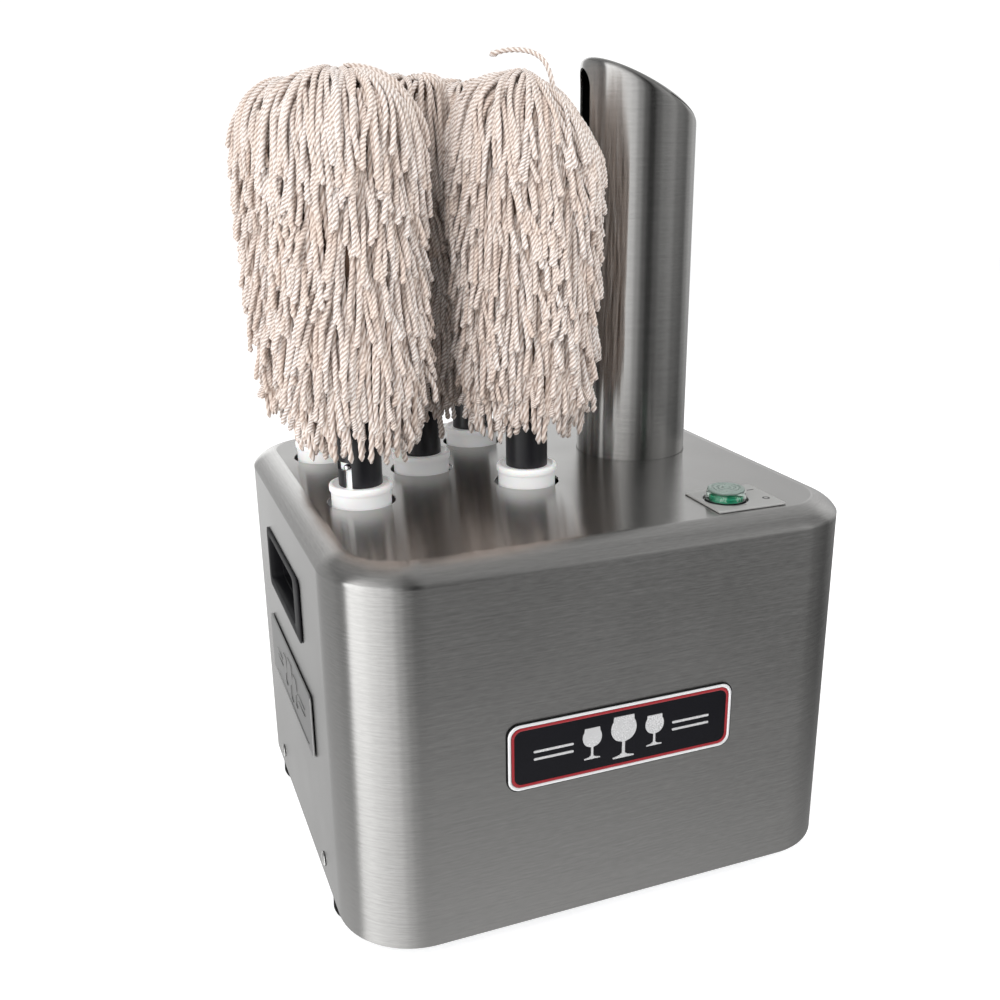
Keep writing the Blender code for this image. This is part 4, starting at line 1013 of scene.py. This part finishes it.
def mop_core(name, widest, outline, rng):
    """The wound mass of yarn under the cords, ridged like the cords that lie on it, and coloured dark as painted
    shade where it shows between them.
    """
    x, y = axis_of("mop_" + name)
    rows, sides = 90, 160
    a = np.linspace(0.004, outline.total - 0.032, rows)
    r, z = outline.place(a)
    out_r, out_z = outline.outward(a)
    angle = np.arange(sides) * 2 * pi / sides
    sway = 0.5 * np.sin(a[:, None] * 90 + 3 * angle[None, :])
    sway = sway + 0.3 * np.sin(a[:, None] * 210 - 5 * angle[None, :])
    ridge = np.abs(np.sin(angle[None, :] * 22 + sway * 2.2))
    depth = (0.0085 if widest > 0.03 else 0.0068) - 0.0016 * ridge + rng.uniform(0, 0.0006, (rows, sides))
    radius = np.maximum(r[:, None] - out_r[:, None] * depth, 0.002)
    height = z[:, None] - out_z[:, None] * depth
    rings = []
    for k in range(rows):
        points = zip(radius[k] * np.cos(angle), radius[k] * np.sin(angle), height[k])
        rings.append([(x + px, y + py, pz) for px, py, pz in points])
    end = float(height[-1].mean())
    for end_r, rise in ((0.018, -0.001), (0.0126, 0.006)):
        rings.append([(x + end_r * cos(q), y + end_r * sin(q), end + rise) for q in angle])
    mesh = slump(finish_mesh("core", skin(rings), sharp=80), name)
    add_values(mesh, len(mesh.vertices), ply=0.8, tint=0.5)
    piece("mop_core_" + name, mesh, COTTON_CORE_PAINTED_SHADE, body="brush_" + name)


# ---------------------------------------------------------------- rear inlet
def mains_inlet():
    """Moulded appliance inlet with a flange round a deep socket."""
    low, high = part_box("mains_inlet")
    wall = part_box("housing_cover")[1].y
    wide, tall = high.x - low.x, high.z - low.z
    proud, deep = high.y - wall, wall - low.y
    table = [(INLET_W, INLET_TALL, 0.002, -deep), (INLET_W, INLET_TALL, 0.002, GAP), (wide, tall, 0.003, GAP)]
    table += [(wide, tall, 0.003, proud * 0.6), (wide - 0.0006, tall - 0.0006, 0.0028, proud * 0.95)]
    table += [(wide - 0.0014, tall - 0.0014, 0.0025, proud), (0.0250, 0.0176, 0.0018, proud)]
    table += [(0.0242, 0.0168, 0.0015, proud - 0.0005), (0.0242, 0.0168, 0.0015, 0.0015 - deep)]
    at = ((low.x + high.x) / 2, wall, (low.z + high.z) / 2)
    rings = plates(table, 6, (0.0, 0.0), 0.0003)
    piece("socket_inlet", skin(rings), PLASTIC, "mains_inlet", facing=REAR, at=at)


# ---------------------------------------------------------------- pieces that keep their CAD shape
INNER_WORKS = {
    "base_tray": ZINC, "inlet_contacts": BRIGHT, "switch_body": PLASTIC,
    "bearing_frame": ALUMINIUM, "lower_bearing_plate": ALUMINIUM,
    "drive_gear": NYLON, "motor_pinion": NYLON, "motor_shaft": BRIGHT, "motor_body": MOTOR,
    "motor_capacitor": ALUMINIUM, "blower_housing": ZINC, "blower_motor": MOTOR, "blower_impeller": PLASTIC,
    "heater_case": ZINC, "heater_element": CERAMIC, **{"spindle_gear_" + name: NYLON for name in PIN_ANGLES},
}


def keep_cad_pieces():
    """Gives the inner works their finishes and breaks their edges."""
    for node, material in INNER_WORKS.items():
        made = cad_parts[node]
        made.data.materials.clear()
        made.data.materials.append(material)
        made.modifiers.new("weld", "WELD").merge_threshold = 0.000001
        bevel(made, 0.00025, 40)


# ---------------------------------------------------------------- stage, light and camera
def area_light(name, at, aim, size, watts):
    lamp = bpy.data.lights.new(name, "AREA")
    lamp.shape = "RECTANGLE"
    lamp.size, lamp.size_y = size, size
    lamp.energy = watts
    made = bpy.data.objects.new(name, lamp)
    scene.collection.objects.link(made)
    made.location = at
    made.rotation_euler = (Vector(aim) - Vector(at)).to_track_quat("-Z", "Y").to_euler()
    made.visible_camera = False
    made.visible_glossy = False


# Brightness of the world by direction. AROUND goes by degrees from the front, to the right. UPWARD and
# BELOW go by the sine of the height above the horizon. The soft boxes stand to the left of the front and
# behind, the room glows from the right, and BELOW lights from well under the horizon and from overhead.
SOFT_AROUND = [
    (-180, 0.95), (-174, 0.75), (-168, 0.42), (-150, 0.34), (-121, 0.30), (-104, 0.20), (-97, 0.26),
    (-90, 1.60), (-74, 1.50), (-59, 1.20), (-47, 1.00), (-34, 0.76), (-22, 0.38), (-10, 0.12), (0, 0.02),
    (14, 0.01), (90, 0.0), (140, 0.08), (160, 0.30), (170, 0.60), (180, 0.95),
]
SOFT_UPWARD = [
    (-1.0, 0.2), (-0.65, 0.35), (-0.5, 0.9), (-0.4, 1.1), (-0.25, 1.15), (0.0, 1.3), (0.3, 1.3),
    (0.6, 0.6), (1.0, 0.2),
]
ROOM_AROUND = [
    (-180, 0.1), (-160, 0.0), (-22, 0.0), (-8, 0.0), (4, 0.01), (14, 0.15), (28, 0.31), (49, 0.42),
    (62, 0.28), (85, 0.20), (98, 0.42), (114, 0.56), (130, 0.42), (145, 0.46), (158, 0.56),
    (170, 0.30), (180, 0.1),
]
ROOM_UPWARD = [
    (-1.0, 0.0), (-0.5, 0.0), (-0.38, 0.02), (-0.28, 0.24), (-0.18, 0.7), (0.0, 1.0), (0.2, 1.25), (0.4, 1.4),
    (0.7, 0.65), (1.0, 0.5),
]
BELOW = [
    (-1.0, 1.0), (-0.75, 0.80), (-0.62, 0.50), (-0.54, 0.28), (-0.47, 0.14), (-0.40, 0.08),
    (-0.3, 0.04), (0.0, 0.01), (0.5, 0.02), (0.75, 0.14), (1.0, 0.2),
]


def grey_ramp(nodes, value, stops):
    """A ramp of grey values, brighter than 1 where asked: the ramp holds half of each value."""
    low, high = stops[0][0], stops[-1][0]
    node = nodes.tree.nodes.new("ShaderNodeValToRGB")
    nodes.feed(node.inputs[0], value)
    ramp = node.color_ramp
    ramp.interpolation = "EASE"
    while len(ramp.elements) < len(stops):
        ramp.elements.new(0.5)
    for element, (where, grey) in zip(ramp.elements, stops):
        element.position = (where - low) / (high - low)
        element.color = (grey / 2, grey / 2, grey / 2, 1.0)
    return nodes.math("MULTIPLY", node.outputs[0], 2.0)


def world_light():
    """A studio of soft light that varies round the room and with height."""
    world = bpy.data.worlds.new("studio")
    scene.world = world
    world.use_nodes = True
    nodes = Nodes(world.node_tree)
    split = world.node_tree.nodes.new("ShaderNodeSeparateXYZ")
    nodes.feed(split.inputs[0], nodes.add("TexCoord", output="Generated"))
    forward = nodes.math("MULTIPLY", split.outputs[1], -1.0)
    share = nodes.ramp(nodes.math("ARCTAN2", split.outputs[0], forward), -pi, pi)
    height = nodes.ramp(split.outputs[2], -1.0, 1.0)
    soft = nodes.math("MULTIPLY", grey_ramp(nodes, share, SOFT_AROUND), grey_ramp(nodes, height, SOFT_UPWARD))
    room = nodes.math("MULTIPLY", grey_ramp(nodes, share, ROOM_AROUND), grey_ramp(nodes, height, ROOM_UPWARD))
    total = nodes.math("ADD", nodes.math("ADD", soft, room), grey_ramp(nodes, height, BELOW))
    background = world.node_tree.nodes["Background"]
    nodes.feed(background.inputs["Color"], (*WHITE, 1.0))
    nodes.feed(background.inputs["Strength"], total)


def stage():
    """A plain pale floor in a white room."""
    floor_r, floor_z, room_r = 4.0, -0.0002, 4.05
    bm = bmesh.new()
    add_skin(bm, [level(circle(r, 96), floor_z) for r in (0.001, floor_r)], caps=False)
    floor = bpy.data.objects.new("floor", finish_mesh("floor", bm))
    glow = {"emission_color": WHITE, "emission_strength": 0.55}
    floor.data.materials.append(grained("floor_pale", (0.86, 0.86, 0.86), 0.7, 300, 0.01, 0.00002, **glow))
    bm = bmesh.new()
    bmesh.ops.create_icosphere(bm, subdivisions=5, radius=room_r)
    room = bpy.data.objects.new("white_room", finish_mesh("room", bm))
    glow = {"emission_color": WHITE, "emission_strength": 1.05}
    white = new_material("room_white", base_color=(0.0, 0.0, 0.0), **glow)
    room.data.materials.append(white)
    for made in (floor, room):
        scene.collection.objects.link(made)
        made.visible_glossy = False
    room.visible_diffuse = False
    room.visible_transmission = False
    room.visible_shadow = False


def camera():
    """The photograph's camera, fitted to the case's straight edges."""
    azimuth, elevation, roll = radians(VIEW_TURN), radians(18.541), radians(-0.3527)
    target, distance = Vector((0.0002, 0.0, 0.2024)), 0.6862
    back = Vector((sin(azimuth) * cos(elevation), -cos(azimuth) * cos(elevation), sin(elevation)))
    right = Vector((cos(azimuth), sin(azimuth), 0.0))
    up = back.cross(right)
    tilted_right = right * cos(roll) + up * sin(roll)
    tilted_up = up * cos(roll) - right * sin(roll)
    place = Matrix((tilted_right, tilted_up, back)).transposed().to_4x4()
    place.translation = target + back * distance
    lens = bpy.data.cameras.new("camera")
    lens.lens = 39.52
    lens.shift_x, lens.shift_y = -0.0233, 0.0100
    lens.clip_start, lens.clip_end = 0.02, 20.0
    made = bpy.data.objects.new("camera", lens)
    scene.collection.objects.link(made)
    made.matrix_world = place
    scene.camera = made


def main():
    camera()
    world_light()
    stage()
    area_light("key", (-1.25, -1.35, 1.55), (0, 0, 0.25), 1.5, 30)
    area_light("fill", (1.7, -1.3, 1.3), (0, 0, 0.25), 1.2, 16)
    area_light("top", (0.1, 0.2, 2.2), (0, 0, 0.2), 1.8, 12)
    scene.view_settings.view_transform = "Standard"
    keep_cad_pieces()
    housing_cover()
    pocket_handles()
    side_plates()
    front_badge()
    side_screws()
    rubber_feet()
    switch_label()
    splash_boot()
    switch_rocker()
    hot_air_duct()
    mains_inlet()
    rng = np.random.default_rng(5)
    for name in PIN_ANGLES:
        spindle(name)
        brush_tube(name)
        if name == "centre":
            mop(name, 0.0250, 390, 2, rng)
        else:
            mop(name, 0.0452, 860, 4, rng)
    stray_cord("front_right", rng)


main()
